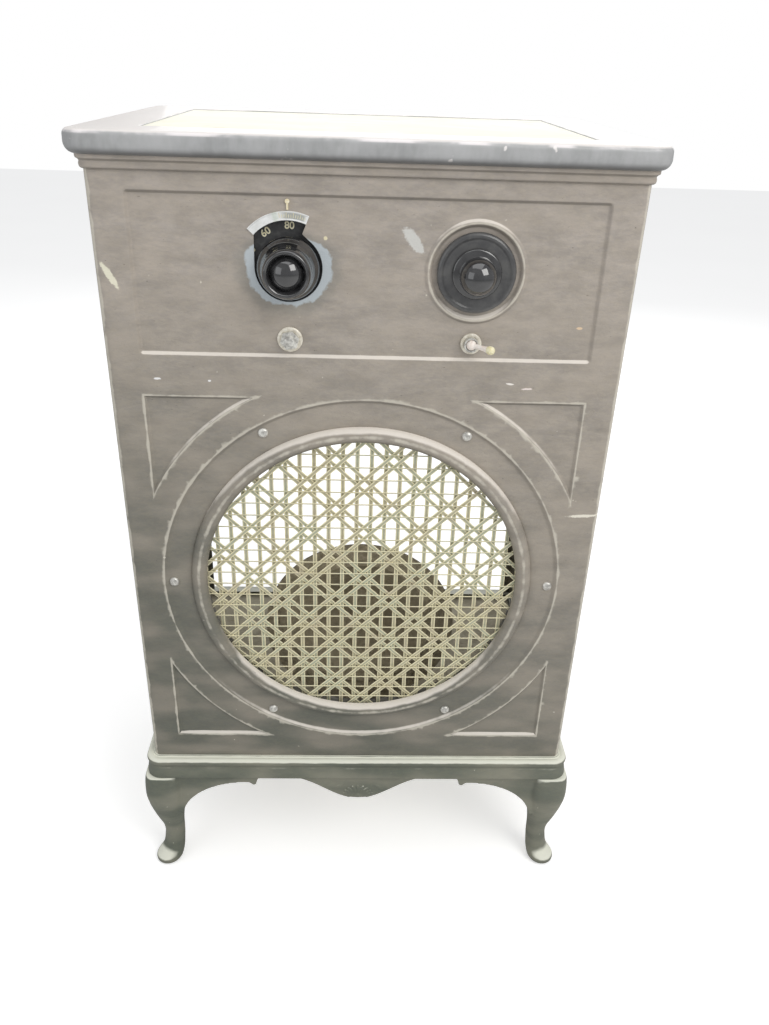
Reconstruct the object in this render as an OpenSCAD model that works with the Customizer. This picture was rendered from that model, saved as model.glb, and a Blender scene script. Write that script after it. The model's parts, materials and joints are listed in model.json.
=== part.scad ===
// Metal console radio on short cabriole legs: a pressed-steel cabinet with a lift-off lid,
// a round caned-lattice speaker grille and a belt-tuned receiver in its upper bay.
// The front faces -Y, the floor is z = 0 and the model is centred on its own footprint.

/* [Cabinet] */
// Width of the pressed body over its side panels
body_w = 421; // [400:1:460]
// Depth of the pressed body, front face to back edge
body_d = 315; // [310:1:350]
// Height of the body's top edge above the floor
body_top = 727; // [724:1:760]
// Height of the body's bottom edge above the floor
body_foot = 152; // [148:1:158]
// Thickness of the pressed steel sheet
sheet = 1.6; // [1.2:0.1:2]
// Outside bend radius of the front corners
corner_r = 7; // [5:0.5:9]
// Length of the front panel's side returns
return_len = 14; // [12:1:20]
// Width of the flanges turned in at the back
flange_w = 15; // [12:1:20]
// How far the side panels' lap strips reach past the seam
lap = 5; // [3:1:8]

/* [Pressed front] */
// Depth of the sunken fields
press_depth = 2.5; // [1.5:0.1:3.5]
// Width of the sloping step round the sunken fields
press_slope = 3; // [1.5:0.1:4]
// Width of the sunken fields
field_w = 366; // [350:1:372]
// Height of the control field
field_h = 126; // [120:1:132]
// Margin from the body's top edge to the control field
field_margin = 23; // [18:1:28]
// Corner radius of the control field
field_r = 4; // [3:0.5:8]
// Height of the plain band under the control field
band_h = 34; // [30:1:40]
// Margin from the body's bottom edge to the lower fields
foot_margin = 28; // [24:1:32]
// Radius of the arcs that bound the four corner fields
spandrel_r = 203.5; // [200:0.5:210]
// Width of the sunken ring from the grille opening to its outer edge
ring_w = 39; // [36:0.5:40]
// Radius of the grille opening
grille_r = 142.5; // [136:0.5:144]
// Radius of the rolled bead round the grille opening
bead = 7; // [5:0.5:8]
// How far the bead's crest stands out of the front face
bead_proud = 4; // [2:0.5:5]
// Radius of the rolled rim round the volume control
well_r = 37; // [36:0.5:40]
// Thickness of that rim
well_bead = 2; // [1.5:0.1:2.5]

/* [Lid] */
// Overall thickness of the lid's edge
lid_h = 17; // [15:0.5:20]
// Overhang of the lid all round
lid_over = 12; // [9:0.2:13]
// Width of the border round the sunken top panel
lid_border = 48; // [42:1:56]
// Depth of the recess that holds the top panel
lid_recess = 2.5; // [2:0.1:3]
// Depth of the locating rim under the lid
rim_h = 8; // [6:1:10]
// Height of the stepped neck moulding under the lid
neck_h = 10; // [8:1:12]

/* [Base and legs] */
// Height of the base moulding's underside above the floor
base_z = 128; // [125:1:131]
// How far the base moulding stands out of the body
base_over = 9.4; // [8:0.2:11]
// Width of the ledge inside the base moulding
base_ledge = 13; // [11:1:16]
// Thickness of the fibre floor board
board_t = 6; // [5:0.5:8]
// How far the legs' knees stand out of the body
knee_out = 13.3; // [12:0.1:15]
// Thickness of the legs at the ankle
ankle_w = 21; // [19:0.2:24]
// Width of the feet
foot_w = 29.5; // [27:0.5:32]
// Reach of the legs' ears along the base moulding
ear_reach = 110; // [100:1:116]
// Drop of the front apron below the base moulding
apron_drop = 29; // [24:1:32]
// Half width of the front apron
apron_half = 63; // [56:1:70]

/* [Grille lattice] */
// Width of one lattice cell
cell_w = 25.1; // [22:0.1:28]
// Height of one lattice cell
cell_h = 24; // [22:0.1:26]
// Width of the thin level wires
wire_w = 1.2; // [1:0.1:2]
// Width of the upright bars
bar_w = 3.8; // [3:0.1:4.5]
// Width of the slanting strands
strand_w = 3.6; // [3:0.1:4.2]
// Thickness of each layer of the lattice
layer_t = 1.2; // [1:0.1:1.6]
// Height of the middle row of diamonds over the grille's centre
lattice_rise = 3.5; // [-12:0.5:12]
// How far the lattice reaches behind the ring, past the grille opening
lattice_lap = 15.5; // [14.5:0.5:17]
// Number of grille bolts
bolt_count = 6; // [4:1:8]
// Margin from the ring's outer edge to the grille bolt circle
bolt_margin = 8.5; // [7.5:0.5:9.5]

/* [Controls] */
// Sideways place of the tuning shaft
tune_x = -62; // [-66:1:-58]
// Sideways place of the volume shaft
volume_x = 83.3; // [80:0.5:88]
// Drop of both shafts below the control field's top
shaft_drop = 55; // [52:0.5:58]
// Radius of both control shafts
shaft_r = 3.1; // [2.9:0.05:3.3]
// Radius of the tuning knob's skirt
knob_r = 24; // [21:0.5:25]
// Reach of the tuning knob in front of the cabinet
knob_reach = 26; // [24:0.5:30]
// Radius of the volume control's black disc
disc_r = 31; // [29:0.5:33]
// Reach of the volume knob in front of the cabinet
volume_reach = 26; // [24:0.5:28]
// Radius of the dial plate behind the panel
dial_r = 38; // [37.5:0.5:40]
// Drop of the small fittings below the shafts
fitting_drop = 56; // [54:0.5:58]
// Length of the toggle's lever
lever_l = 24; // [20:0.5:26]
// Throw of the toggle to each side
lever_throw = 45; // [30:1:48]
// Scale reading under the index, out of 100 over half a turn
dial_reading = 79; // [60:1:90]

/* [Receiver] */
// Height of the chassis deck over its shelf
chassis_h = 40; // [36:1:44]
// Width of the chassis
chassis_w = 370; // [360:1:380]
// Distance from shaft to shaft of the three condensers
gang_pitch = 70; // [68:0.5:74]
// Radius of the belt pulleys
pulley_r = 30; // [27:0.5:31]
// Radius of the condensers' moving plates
plate_r = 25; // [22:0.5:26]
// Distance from plate to plate
plate_pitch = 7; // [6:0.5:8]
// Number of moving plates in each condenser
plate_count = 6; // [4:1:7]
// Number of valves
valve_count = 7; // [5:1:7]
// Distance from valve to valve
valve_pitch = 50; // [46:1:52]
// Radius of the valves' glass
valve_r = 21.5; // [19:0.5:22]

/* [Loudspeaker] */
// Outside radius of the loudspeaker
speaker_r = 101; // [90:1:104]
// Distance of the loudspeaker's front behind the front panel
speaker_back = 96; // [80:1:110]
// Depth of the loudspeaker's basket
basket_depth = 66; // [60:1:74]

/* [Hidden] */

$fn = 96;
slack = 0.3;          // gap between parts that move past each other
fit = 0.05;           // running and seating clearance on a radius

front_y = -(body_d + knee_out - knob_reach) / 2;
back_y = front_y + body_d;
mid_y = (front_y + back_y) / 2;
body_h = body_top - body_foot;
body_half = body_w / 2;

field_top = body_top - field_margin;
field_z = field_top - field_h / 2;
lower_top = field_top - field_h - band_h;
lower_foot = body_foot + foot_margin;
lower_h = lower_top - lower_foot;
ring_z = (lower_top + lower_foot) / 2;
ring_r = grille_r + ring_w;
bolt_circle = ring_r - bolt_margin;
lattice_r = grille_r + lattice_lap;
floor_y = front_y + press_depth;              // front surface of the sunken fields
inner_y = floor_y + sheet;                    // back surface of the sunken fields
bead_mid = grille_r + bead;

shaft_z = field_top - shaft_drop;
fitting_z = shaft_z - fitting_drop;
bolt_r = 2.2;
head_r = 4.5;

// ---------------------------------------------------------------- helpers

// Extrudes an outline drawn as (x, z) from y to y + t
module slab(y, t) {
    translate([0, y + t, 0]) rotate([90, 0, 0]) linear_extrude(t) children();
}

// Turns a profile drawn as (radius, distance behind y) round an axis along Y
module turned(x, y, z) {
    translate([x, y, z]) rotate([-90, 0, 0]) rotate_extrude() children();
}

module rod(x, y, z, r, l) {
    translate([x, y, z]) rotate([-90, 0, 0]) cylinder(h = l, r = r);
}

module rounded(w, h, r) {
    square([w - 2 * r, h], center = true);
    square([w, h - 2 * r], center = true);
    for (sx = [-1, 1], sz = [-1, 1])
        translate([sx * (w / 2 - r), sz * (h / 2 - r)]) circle(r);
}

// A wedge from the centre, angles clockwise from straight up
module wedge(r, from, to) {
    polygon(concat([[0, 0]], [for (i = [0:4]) let (a = from + (to - from) * i / 4)
        [2 * r * sin(a), 2 * r * cos(a)]]));
}

// Points of the body's plan, grown outwards and set at one height
steps = 8;
function plan_ring(grow, z) =
    let (r = max(2, corner_r + grow), hx = body_half + grow, hy = body_d / 2 + grow)
    [for (c = [[1, -1, -90], [1, 1, 0], [-1, 1, 90], [-1, -1, 180]], i = [0:steps])
        let (a = c[2] + 90 * i / steps)
        [c[0] * (hx - r) + r * cos(a), mid_y + c[1] * (hy - r) + r * sin(a), z]];

// Quads between neighbouring rings of n points
function band_faces(n, a, b) = [for (i = [0:n - 1]) [a + i, b + i, b + (i + 1) % n, a + (i + 1) % n]];

// A closed frame swept round the body's plan, its section given as [grow, z] pairs
module plan_frame(section) {
    n = 4 * (steps + 1);
    m = len(section);
    polyhedron([for (s = section) each plan_ring(s[0], s[1])],
        [for (k = [0:m - 1]) each band_faces(n, k * n, ((k + 1) % m) * n)], convexity = 6);
}

// A closed skin through rings of n points, listed from the top down or from the outside in
module loft(rings) {
    n = len(rings[0]);
    m = len(rings);
    polyhedron([for (r = rings) each r],
        concat([[for (i = [n - 1:-1:0]) i]],
            [for (k = [0:m - 2]) each band_faces(n, (k + 1) * n, k * n)],
            [[for (i = [0:n - 1]) (m - 1) * n + i]]), convexity = 6);
}

// ---------------------------------------------------------------- pressed cabinet

// Outlines of the sunken fields, grown outwards, as (x, z) points in anticlockwise order
function control_outline(grow) =
    let (r = field_r + grow, hx = field_w / 2 + grow - r, hz = field_h / 2 + grow - r)
    [for (c = [[1, -1, -90], [1, 1, 0], [-1, 1, 90], [-1, -1, 180]], i = [0:steps])
        let (a = c[2] + 90 * i / steps)
        [c[0] * hx + r * cos(a), field_z + c[1] * hz + r * sin(a)]];

function corner_outline(sx, sz, grow) =
    let (hx = field_w / 2 + grow, hz = lower_h / 2 + grow, r = spandrel_r - grow,
        low = acos(hx / r), high = asin(hz / r), n = 2 * steps,
        arc = [for (i = [0:n]) let (a = high + (low - high) * i / n) [r * cos(a), r * sin(a)]],
        points = concat([[hx, hz]], arc))
    [for (i = [0:n + 1]) let (p = points[sx * sz > 0 ? i : n + 1 - i]) [sx * p[0], ring_z + sz * p[1]]];

function field_outlines(grow) = concat([control_outline(grow)],
    [for (sx = [-1, 1], sz = [-1, 1]) corner_outline(sx, sz, grow)]);

module sunken_fields(grow) {
    for (outline = field_outlines(grow)) polygon(outline);
}

// Closed frame swept round one outline, its section given as [grow, depth behind the front] pairs
module field_frame(index, section) {
    m = len(section);
    rings = [for (s = section) [for (p = field_outlines(s[0])[index]) [p[0], front_y + s[1], p[1]]]];
    n = len(rings[0]);
    polyhedron([for (ring = rings) each ring],
        [for (k = [0:m - 1]) each band_faces(n, ((k + 1) % m) * n, k * n)], convexity = 6);
}

// Section of the sloping step round a sunken field; the steel keeps its thickness across the slope
step_angle = atan(press_depth / press_slope);
step_back = sheet * tan(step_angle / 2);
step_lap = 0.4;
step_section = [[-press_slope - step_lap, press_depth], [-press_slope, press_depth], [0, 0],
    [step_back + step_lap, 0], [step_back + step_lap, sheet], [step_back, sheet],
    [step_back - press_slope, press_depth + sheet], [-press_slope - step_lap, press_depth + sheet]];

// Quarter-round bend between two panels, its outside facing the given corner
module bend(sx, sy) {
    translate([sx * (body_half - corner_r), mid_y + sy * (body_d / 2 - corner_r), body_foot])
        linear_extrude(body_h) intersection() {
            difference() {
                circle(corner_r);
                circle(corner_r - sheet);
            }
            translate([sx > 0 ? 0 : -corner_r, sy > 0 ? 0 : -corner_r]) square(corner_r);
        }
}

// Section of the sunken ring and the rolled bead at the grille's edge
module bead_section() {
    translate([ring_r, 0]) polygon(step_section);
    translate([bead_mid + bead - sheet, press_depth])
        square([ring_r - press_slope - bead_mid - bead + sheet, sheet]);
    for (r = [grille_r, bead_mid + bead - sheet])
        translate([r, bead - bead_proud]) square([sheet, press_depth + sheet - bead + bead_proud]);
    translate([bead_mid, bead - bead_proud]) difference() {
        circle(bead);
        circle(bead - sheet);
        translate([-bead, 0]) square([2 * bead, bead]);
    }
}

window_r = 35.5;
window_from = -47;
window_to = 23;

module dial_window() {
    circle(knob_r + 2.5);
    translate([-knob_r - 2.5, 0]) square([knob_r + 2.5, 24.5]);
    intersection() {
        circle(window_r);
        wedge(window_r, window_from, window_to);
    }
}

module front_panel() {
    color("#8f877d") difference() {
        union() {
            slab(front_y, sheet) difference() {
                translate([-body_half + corner_r, body_foot])
                    square([body_w - 2 * corner_r, body_h]);
                sunken_fields(step_back + step_lap / 2);
                translate([0, ring_z]) circle(ring_r + step_back + step_lap / 2);
            }
            for (index = [0:4]) field_frame(index, step_section);
            slab(floor_y, sheet) sunken_fields(-press_slope - step_lap / 2);
            turned(0, front_y, ring_z) bead_section();
            turned(volume_x, floor_y, shaft_z) translate([well_r, 0]) circle(well_bead);
            for (s = [-1, 1]) {
                bend(s, -1);
                translate([s > 0 ? body_half - sheet : -body_half, front_y + corner_r, body_foot])
                    cube([sheet, return_len - corner_r, body_h]);
            }
        }
        slab(front_y - 1, press_depth + 5) translate([tune_x, shaft_z]) dial_window();
        rod(volume_x, front_y, shaft_z, bush_r + fit, 9);
        rod(volume_x, front_y, fitting_z, toggle_bush + fit, 9);
        rod(tune_x, front_y, fitting_z, stud_r + fit, 9);
        for (i = [0:bolt_count - 1])
            rod(bolt_circle * cos(i * 360 / bolt_count), front_y,
                ring_z + bolt_circle * sin(i * 360 / bolt_count), bolt_r + 0.2, 9);
        // the rim round the volume control is pressed, so it is hollow behind
        slab(inner_y, 3) translate([volume_x, shaft_z]) circle(well_r + well_bead + 1);
    }
}

// Side panel on the +X side
module side_shell() {
    difference() {
        union() {
            translate([body_half - sheet, front_y + return_len, body_foot])
                cube([sheet, body_d - return_len - corner_r, body_h]);
            bend(1, 1);
            translate([body_half - 2 * sheet, front_y + corner_r + 1, body_foot + 12])
                cube([sheet, return_len - corner_r - 1 + lap, body_h - 24]);
            translate([body_half - flange_w, back_y - sheet, body_foot])
                cube([flange_w - corner_r, sheet, body_h]);
        }
        for (z = screw_zs) rod(screw_x, back_y - 4, z, screw_r + 0.2, 8);
    }
}

module side_panel_left() {
    color("#857f76") mirror([1, 0, 0]) side_shell();
}

module side_panel_right() {
    color("#857f76") side_shell();
}

module neck_moulding() {
    color("#7d776e") plan_frame([[fit, body_top - neck_h], [2.2, body_top - neck_h],
        [3, body_top - neck_h + 1], [3, body_top - neck_h / 2 - 0.6],
        [4, body_top - neck_h / 2 + 1], [5.2, body_top - neck_h / 4],
        [5.2, body_top], [fit, body_top]]);
}

// Rear cover over the receiver bay
cover_t = 1.2;
cover_foot = lower_top - 4;
cover_top = body_top - neck_h - 0.5;
cover_w = body_w - 2 * corner_r + 2;
screw_x = body_half - flange_w + 4.5;
screw_r = 1.8;
screw_zs = [cover_foot + 10, cover_top - 10];
vent_w = cover_w / 3 - 50;
grommet_x = -120;
grommet_z = cover_foot + 38;
grommet_r = 6.5;
grommet_bore = 4;

module slot(w, h) {
    square([w - h, h], center = true);
    for (s = [-1, 1]) translate([s * (w - h) / 2, 0]) circle(h / 2);
}

module rear_cover() {
    color("#6f6a62") slab(back_y, cover_t) difference() {
        translate([0, (cover_foot + cover_top) / 2]) rounded(cover_w, cover_top - cover_foot, 5);
        for (column = [-1, 0, 1], row = [0:7])
            translate([column * (vent_w + 24), cover_top - 36 - row * 10]) slot(vent_w, 4);
        for (s = [-1, 1], z = screw_zs) translate([s * screw_x, z]) circle(screw_r + 0.2);
        translate([grommet_x, grommet_z]) circle(grommet_r);
    }
}

module rear_cover_screws() {
    color("#b8b4aa") for (s = [-1, 1], z = screw_zs)
        turned(s * screw_x, back_y + cover_t, z) difference() {
            union() {
                translate([0, -cover_t - sheet - 3]) square([screw_r, cover_t + sheet + 3]);
                intersection() {
                    translate([0, -3.2]) circle(5);
                    square([5, 3]);
                }
            }
            translate([-6, -8]) square([6, 12]);
        }
}

module cable_grommet() {
    color("#2a2826") turned(grommet_x, back_y, grommet_z) union() {
        translate([grommet_bore, -1.8]) square([grommet_r - grommet_bore - fit, cover_t + 3.6]);
        for (y = [-1.8, cover_t + slack]) translate([grommet_bore, y]) square([4.6, 1.5]);
    }
}

// ---------------------------------------------------------------- lid

lid_z = body_top;
lid_top = body_top + lid_h;
lid_wall = 4;
// From the recess over the rolled edge, under the flange and up to the pan's ceiling
lid_section = [[lid_over - lid_border, lid_top - lid_recess], [lid_over - lid_border, lid_top],
    [lid_over - 6, lid_top], [lid_over - 3, lid_top - 0.8], [lid_over - 1, lid_top - 2.6],
    [lid_over, lid_top - 5.5], [lid_over, lid_z + lid_h / 2], [lid_over - 0.8, lid_z + 4],
    [lid_over - 2.6, lid_z + 1.4], [lid_over - 5, lid_z], [-20, lid_z], [-20, lid_z + sheet],
    [lid_over - lid_wall, lid_z + sheet], [lid_over - lid_wall, lid_top - 4.6]];

module lid() {
    color("#8d8a88") union() {
        loft([for (s = lid_section) plan_ring(s[0], s[1])]);
        plan_frame([[-sheet - 0.6, lid_z - rim_h], [-sheet - 0.6, lid_z + 0.8],
            [-2 * sheet - 0.6, lid_z + 0.8], [-2 * sheet - 0.6, lid_z - rim_h]]);
    }
}

module lid_top_panel() {
    edge = lid_over - lid_border - 0.4;
    color("#cfc8ac") translate([0, mid_y, lid_top - lid_recess]) linear_extrude(lid_recess - 0.8)
        rounded(body_w + 2 * edge, body_d + 2 * edge, 1.6);
}

// ---------------------------------------------------------------- base, floor and legs

ledge_z = body_foot - 12;
ledge_grow = -7.5;
base_roll = 4.4;
roll_grow = base_over - 0.4 - base_roll;      // middle of the roll along the moulding's top

module base_moulding() {
    color("#6d6c62") difference() {
        plan_frame([[base_over - 0.5, base_z], [base_over, base_z + 2], [base_over - 0.5, base_z + 7],
            [base_over - 2.1, base_z + 12.5], [base_over - 2.8, base_z + 14],
            for (a = [-60:30:90])
                [roll_grow + base_roll * cos(a), body_foot - base_roll - 0.6 + base_roll * sin(a)],
            [2.4, body_foot - 1],
            [1.2, body_foot], [ledge_grow, body_foot], [ledge_grow, ledge_z],
            [ledge_grow - base_ledge, ledge_z], [ledge_grow - base_ledge, base_z]]);
        for (sx = [-1, 1], y = [front_y + leg_bolt_in, back_y - leg_bolt_in])
            translate([sx * (body_half - leg_bolt_in), y, base_z - 1]) {
                cylinder(h = ledge_z - base_z + 2, r = leg_bolt_r + 0.4);
                translate([0, 0, ledge_z - base_z - 2.6]) cylinder(h = 8, r = leg_bolt_r * 2 + 0.4);
            }
    }
}

module floor_board() {
    color("#a8926c") translate([0, mid_y, ledge_z]) linear_extrude(board_t)
        square([body_w + 2 * ledge_grow - 1, body_d + 2 * ledge_grow - 1], center = true);
}

apron_y = front_y - 7;
apron_t = 4;

module front_apron() {
    foot_z = base_z - apron_drop;
    curve = [for (i = [0:8]) let (u = i / 8)
        [apron_half - (apron_half - 9) * u, base_z - 1.5 - (apron_drop - 1.5) *
            (0.55 * u + 0.45 * (1 - cos(180 * u)) / 2)]];
    color("#6b6c64") union() {
        slab(apron_y, apron_t) union() {
            polygon(concat([[-apron_half, base_z], [apron_half, base_z]], curve,
                [for (i = [8:-1:0]) [-curve[i][0], curve[i][1]]]));
            intersection() {
                translate([0, foot_z + 9]) circle(13);
                translate([-12, foot_z - 2]) square([24, 12]);
            }
        }
        // shell-shaped boss in the middle of the apron
        for (a = [-60:30:60])
            translate([11 * sin(a), apron_y, foot_z + 12 + 7 * cos(a)])
                rotate([90, 0, 0]) cylinder(h = 2, r = 4.6);
        translate([0, apron_y, foot_z + 8]) rotate([90, 0, 0]) cylinder(h = 2.6, r = 6);
    }
}

// Stations of a leg: height, outer face and inner face, measured inwards from the body's sides
leg_top = base_z;
ankle_in = 20.6;
ankle_out = ankle_in - ankle_w;
foot_in = 18.2;
foot_out = foot_in - foot_w;
leg_stations = [
    [leg_top, 2.7 - knee_out, 21.2], [leg_top - 3, 1.7 - knee_out, 23], [leg_top - 7, 0.9 - knee_out, 25],
    [leg_top - 14, 0.3 - knee_out, 26], [leg_top - 21, -knee_out, 26.2], [leg_top - 29, 0.2 - knee_out, 25.8],
    [leg_top - 37, 1.3 - knee_out, 24.9], [leg_top - 45, 2.8 - knee_out, 24.4],
    [leg_top - 53, 4.6 - knee_out, 23.6], [leg_top - 61, 6.6 - knee_out, 22.8],
    [leg_top - 69, 8.9 - knee_out, ankle_in + 1.2], [leg_top - 77, ankle_out - 1.7, ankle_in + 0.4],
    [leg_top - 84, ankle_out - 0.4, ankle_in + 0.1], [36, ankle_out, ankle_in],
    [29, ankle_out - 0.7, ankle_in - 0.2], [23, ankle_out - 1.5, ankle_in - 0.6],
    [18, ankle_out - 2.7, ankle_in - 0.9], [14, foot_out + 6.4, foot_in + 1.3],
    [10.5, foot_out + 3.6, foot_in + 0.8], [7, foot_out + 0.8, foot_in], [4, foot_out, foot_in - 1.1],
    [1.5, foot_out + 1, foot_in - 3.6], [0, foot_out + 4, foot_in - 7]];
leg_sides = 16;
leg_bolt_in = 8;
leg_bolt_r = 3;

// A section that is nearly square at the knee and round at the foot
function leg_ring(s) =
    let (c = (s[1] + s[2]) / 2, h = (s[2] - s[1]) / 2, e = s[0] > 60 ? 0.62 : s[0] > 20 ? 0.8 : 1)
    [for (i = [0:leg_sides - 1]) let (a = 360 * i / leg_sides, u = cos(a), v = sin(a))
        [c + h * sign(u) * pow(abs(u), e), c + h * sign(v) * pow(abs(v), e), s[0]]];

module leg_post() {
    loft([for (s = leg_stations) leg_ring(s)]);
}

// The ear's lower edge is a quarter of an ellipse that ends in a small drop
module leg_ear() {
    drop_x = ear_reach - 8.5;
    arc_w = drop_x - 32.5;
    arc_h = 50;
    edge_z = leg_top - 9;
    translate([0, 2, 0]) rotate([90, 0, 0]) linear_extrude(8) union() {
        polygon(concat([[4, leg_top], [4, leg_top - 40]],
            [for (a = [8:8:88]) [drop_x - 8 - (arc_w) * cos(a), edge_z - arc_h + arc_h * sin(a)]],
            [[drop_x - 3, edge_z - 0.6], [drop_x, edge_z - 2], [ear_reach, leg_top]]));
        translate([drop_x, leg_top - 10]) circle(2.6);
    }
}

module leg_shape() {
    difference() {
        union() {
            leg_post();
            leg_ear();
            mirror([1, -1, 0]) leg_ear();
        }
        translate([leg_bolt_in, leg_bolt_in, leg_top - 30]) cylinder(h = 31, r = leg_bolt_r + 0.4);
    }
}

module leg_front_left() {
    color("#77766b") translate([-body_half, front_y, 0]) leg_shape();
}

module leg_front_right() {
    color("#77766b") translate([body_half, front_y, 0]) mirror([1, 0, 0]) leg_shape();
}

module leg_rear_left() {
    color("#77766b") translate([-body_half, back_y, 0]) mirror([0, 1, 0]) leg_shape();
}

module leg_rear_right() {
    color("#77766b") translate([body_half, back_y, 0]) mirror([1, 0, 0]) mirror([0, 1, 0]) leg_shape();
}

module leg_bolts() {
    color("#8a8880") for (sx = [-1, 1], y = [front_y + leg_bolt_in, back_y - leg_bolt_in])
        translate([sx * (body_half - leg_bolt_in), y, leg_top - 28]) {
            cylinder(h = ledge_z - leg_top + 25, r = leg_bolt_r);
            translate([0, 0, ledge_z - leg_top + 25 - 0.6]) cylinder(h = 3.4, r = leg_bolt_r * 2);
        }
}

// ---------------------------------------------------------------- grille

lattice_y = inner_y;
strand_slope = cell_h / cell_w;
strand_angle = atan(strand_slope);
lattice_z = ring_z + lattice_rise;

module lattice_layer(level) {
    slab(lattice_y + level * layer_t, layer_t) intersection() {
        translate([0, ring_z]) circle(lattice_r);
        translate([0, lattice_z]) children();
    }
}

module grille_wires() {
    rows = floor(lattice_r / (cell_h / 2));
    color("#d8cf9c") lattice_layer(0)
        for (i = [-rows:rows + 1]) translate([-lattice_r, (i - 0.5) * cell_h / 2 - wire_w / 2])
            square([2 * lattice_r, wire_w]);
}

// Two strands cross each cell, a quarter of a cell above and below its open diamond
module slanting(side) {
    reach = ceil(lattice_r * 1.5 / cell_h);
    for (i = [-reach:reach], c = [-0.25, 0.25])
        translate([0, (i * 2 + c) * cell_h]) rotate(side * strand_angle)
            translate([-1.6 * lattice_r, -strand_w / 2]) square([3.2 * lattice_r, strand_w]);
}

module grille_strands_rising() {
    color("#cfc48c") lattice_layer(1) slanting(1);
}

module grille_strands_falling() {
    color("#c9be88") lattice_layer(2) slanting(-1);
}

module grille_bars() {
    columns = ceil(lattice_r / (cell_w / 2));
    color("#bdb27c") lattice_layer(3)
        for (i = [-columns:columns]) translate([(i + 0.5) * cell_w / 2 - bar_w / 2, -1.1 * lattice_r])
            square([bar_w, 2.2 * lattice_r]);
}

clamp_y = lattice_y + 4 * layer_t;
clamp_t = 3;
clamp_r = ring_r - sheet - 1;

module on_bolt_circle() {
    for (i = [0:bolt_count - 1]) let (a = i * 360 / bolt_count)
        translate([bolt_circle * cos(a), 0, ring_z + bolt_circle * sin(a)]) children();
}

module grille_clamp_ring() {
    color("#5f5c55") difference() {
        turned(0, 0, ring_z) union() {
            translate([grille_r + 1.5, clamp_y]) square([clamp_r - grille_r - 1.5, clamp_t]);
            translate([lattice_r + 1, lattice_y]) square([clamp_r - lattice_r - 1, 4 * layer_t + 1]);
        }
        on_bolt_circle() rod(0, lattice_y - 1, 0, bolt_r + 0.2, 4 * layer_t + clamp_t + 2);
    }
}

bolt_l = press_depth + sheet + 4 * layer_t + clamp_t + 5;

module grille_bolts() {
    color("#c9c4b4") on_bolt_circle() turned(0, floor_y, 0) union() {
        square([bolt_r, bolt_l - press_depth]);
        intersection() {
            translate([0, 2.6]) circle(5.2);
            translate([0, -2.6]) square([head_r, 2.6]);
        }
    }
}

module grille_nuts() {
    color("#a8a496") on_bolt_circle() translate([0, clamp_y + clamp_t, 0]) rotate([-90, 0, 0])
        difference() {
            cylinder(h = 3.2, r = 4.4, $fn = 6);
            translate([0, 0, -1]) cylinder(h = 6, r = bolt_r + fit);
        }
}

// ---------------------------------------------------------------- shelf and chassis

shelf_z = lower_top + 8;
shelf_t = 1.6;
deck_z = shelf_z + shelf_t + chassis_h;
shelf_front = front_y + 22;
shelf_back = back_y - 8;

module shelf_rail() {
    translate([body_half - sheet, shelf_front, shelf_z]) mirror([1, 0, 0]) union() {
        translate([0, 0, -20]) cube([2, shelf_back - shelf_front, 20]);
        translate([0, 0, -2]) cube([20, shelf_back - shelf_front, 2]);
    }
}

module shelf_rail_left() {
    color("#5c5a54") mirror([1, 0, 0]) shelf_rail();
}

module shelf_rail_right() {
    color("#5c5a54") shelf_rail();
}

module set_shelf() {
    color("#66635c") translate([-body_half + sheet + 0.4, shelf_front, shelf_z])
        cube([body_w - 2 * sheet - 0.8, shelf_back - shelf_front, shelf_t]);
}

chassis_front = front_y + 45;
chassis_back = back_y - 24;

module chassis_pan() {
    color("#77746c") difference() {
        translate([-chassis_w / 2, chassis_front, shelf_z + shelf_t])
            cube([chassis_w, chassis_back - chassis_front, chassis_h]);
        translate([-chassis_w / 2 + 1.6, chassis_front + 1.6, shelf_z + shelf_t - 1])
            cube([chassis_w - 3.2, chassis_back - chassis_front - 3.2, chassis_h - 0.6]);
    }
}

// ---------------------------------------------------------------- belt-tuned condensers

gang_xs = [tune_x - gang_pitch, tune_x, tune_x + gang_pitch];
pulley_y = chassis_front + 2;
pulley_t = 9;
frame_y = pulley_y + pulley_t + 4;
stack_y = frame_y + 8;
plate_t = 1;
stack_l = plate_pitch * plate_count;
frame_l = stack_l + 16;
frame_half = plate_r + 8;
rear_y = frame_y + frame_l;
rod_at = plate_r + 4;
rest_turn = -(100 - dial_reading) * 1.8;

module frame_plate(y) {
    difference() {
        slab(y, 2) union() {
            translate([-frame_half, deck_z - shaft_z]) square([2 * frame_half, shaft_z - deck_z]);
            circle(frame_half);
        }
        rod(0, y - 1, 0, shaft_r + fit, 4);
        for (a = [-20, 200]) rod(rod_at * cos(a), y - 1, rod_at * sin(a), 2.2 + fit, 4);
    }
}

module condenser_frames() {
    color("#b9b5a8") for (x = gang_xs) translate([x, 0, shaft_z]) union() {
        frame_plate(frame_y);
        frame_plate(rear_y);
        translate([-frame_half, frame_y, deck_z - shaft_z]) cube([2 * frame_half, frame_l, 2]);
    }
}

module condenser_stators() {
    color("#d2cfc4") for (x = gang_xs) translate([x, 0, shaft_z]) union() {
        for (i = [0:plate_count]) slab(stack_y + i * plate_pitch - plate_t / 2, plate_t) difference() {
            circle(rod_at + 3);
            circle(shaft_r + 3.5);
            translate([-rod_at - 4, -4]) square([2 * rod_at + 8, rod_at + 8]);
        }
        for (a = [-20, 200]) rod(rod_at * cos(a), frame_y - 2, rod_at * sin(a), 2.2, frame_l + 6);
    }
}

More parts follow.
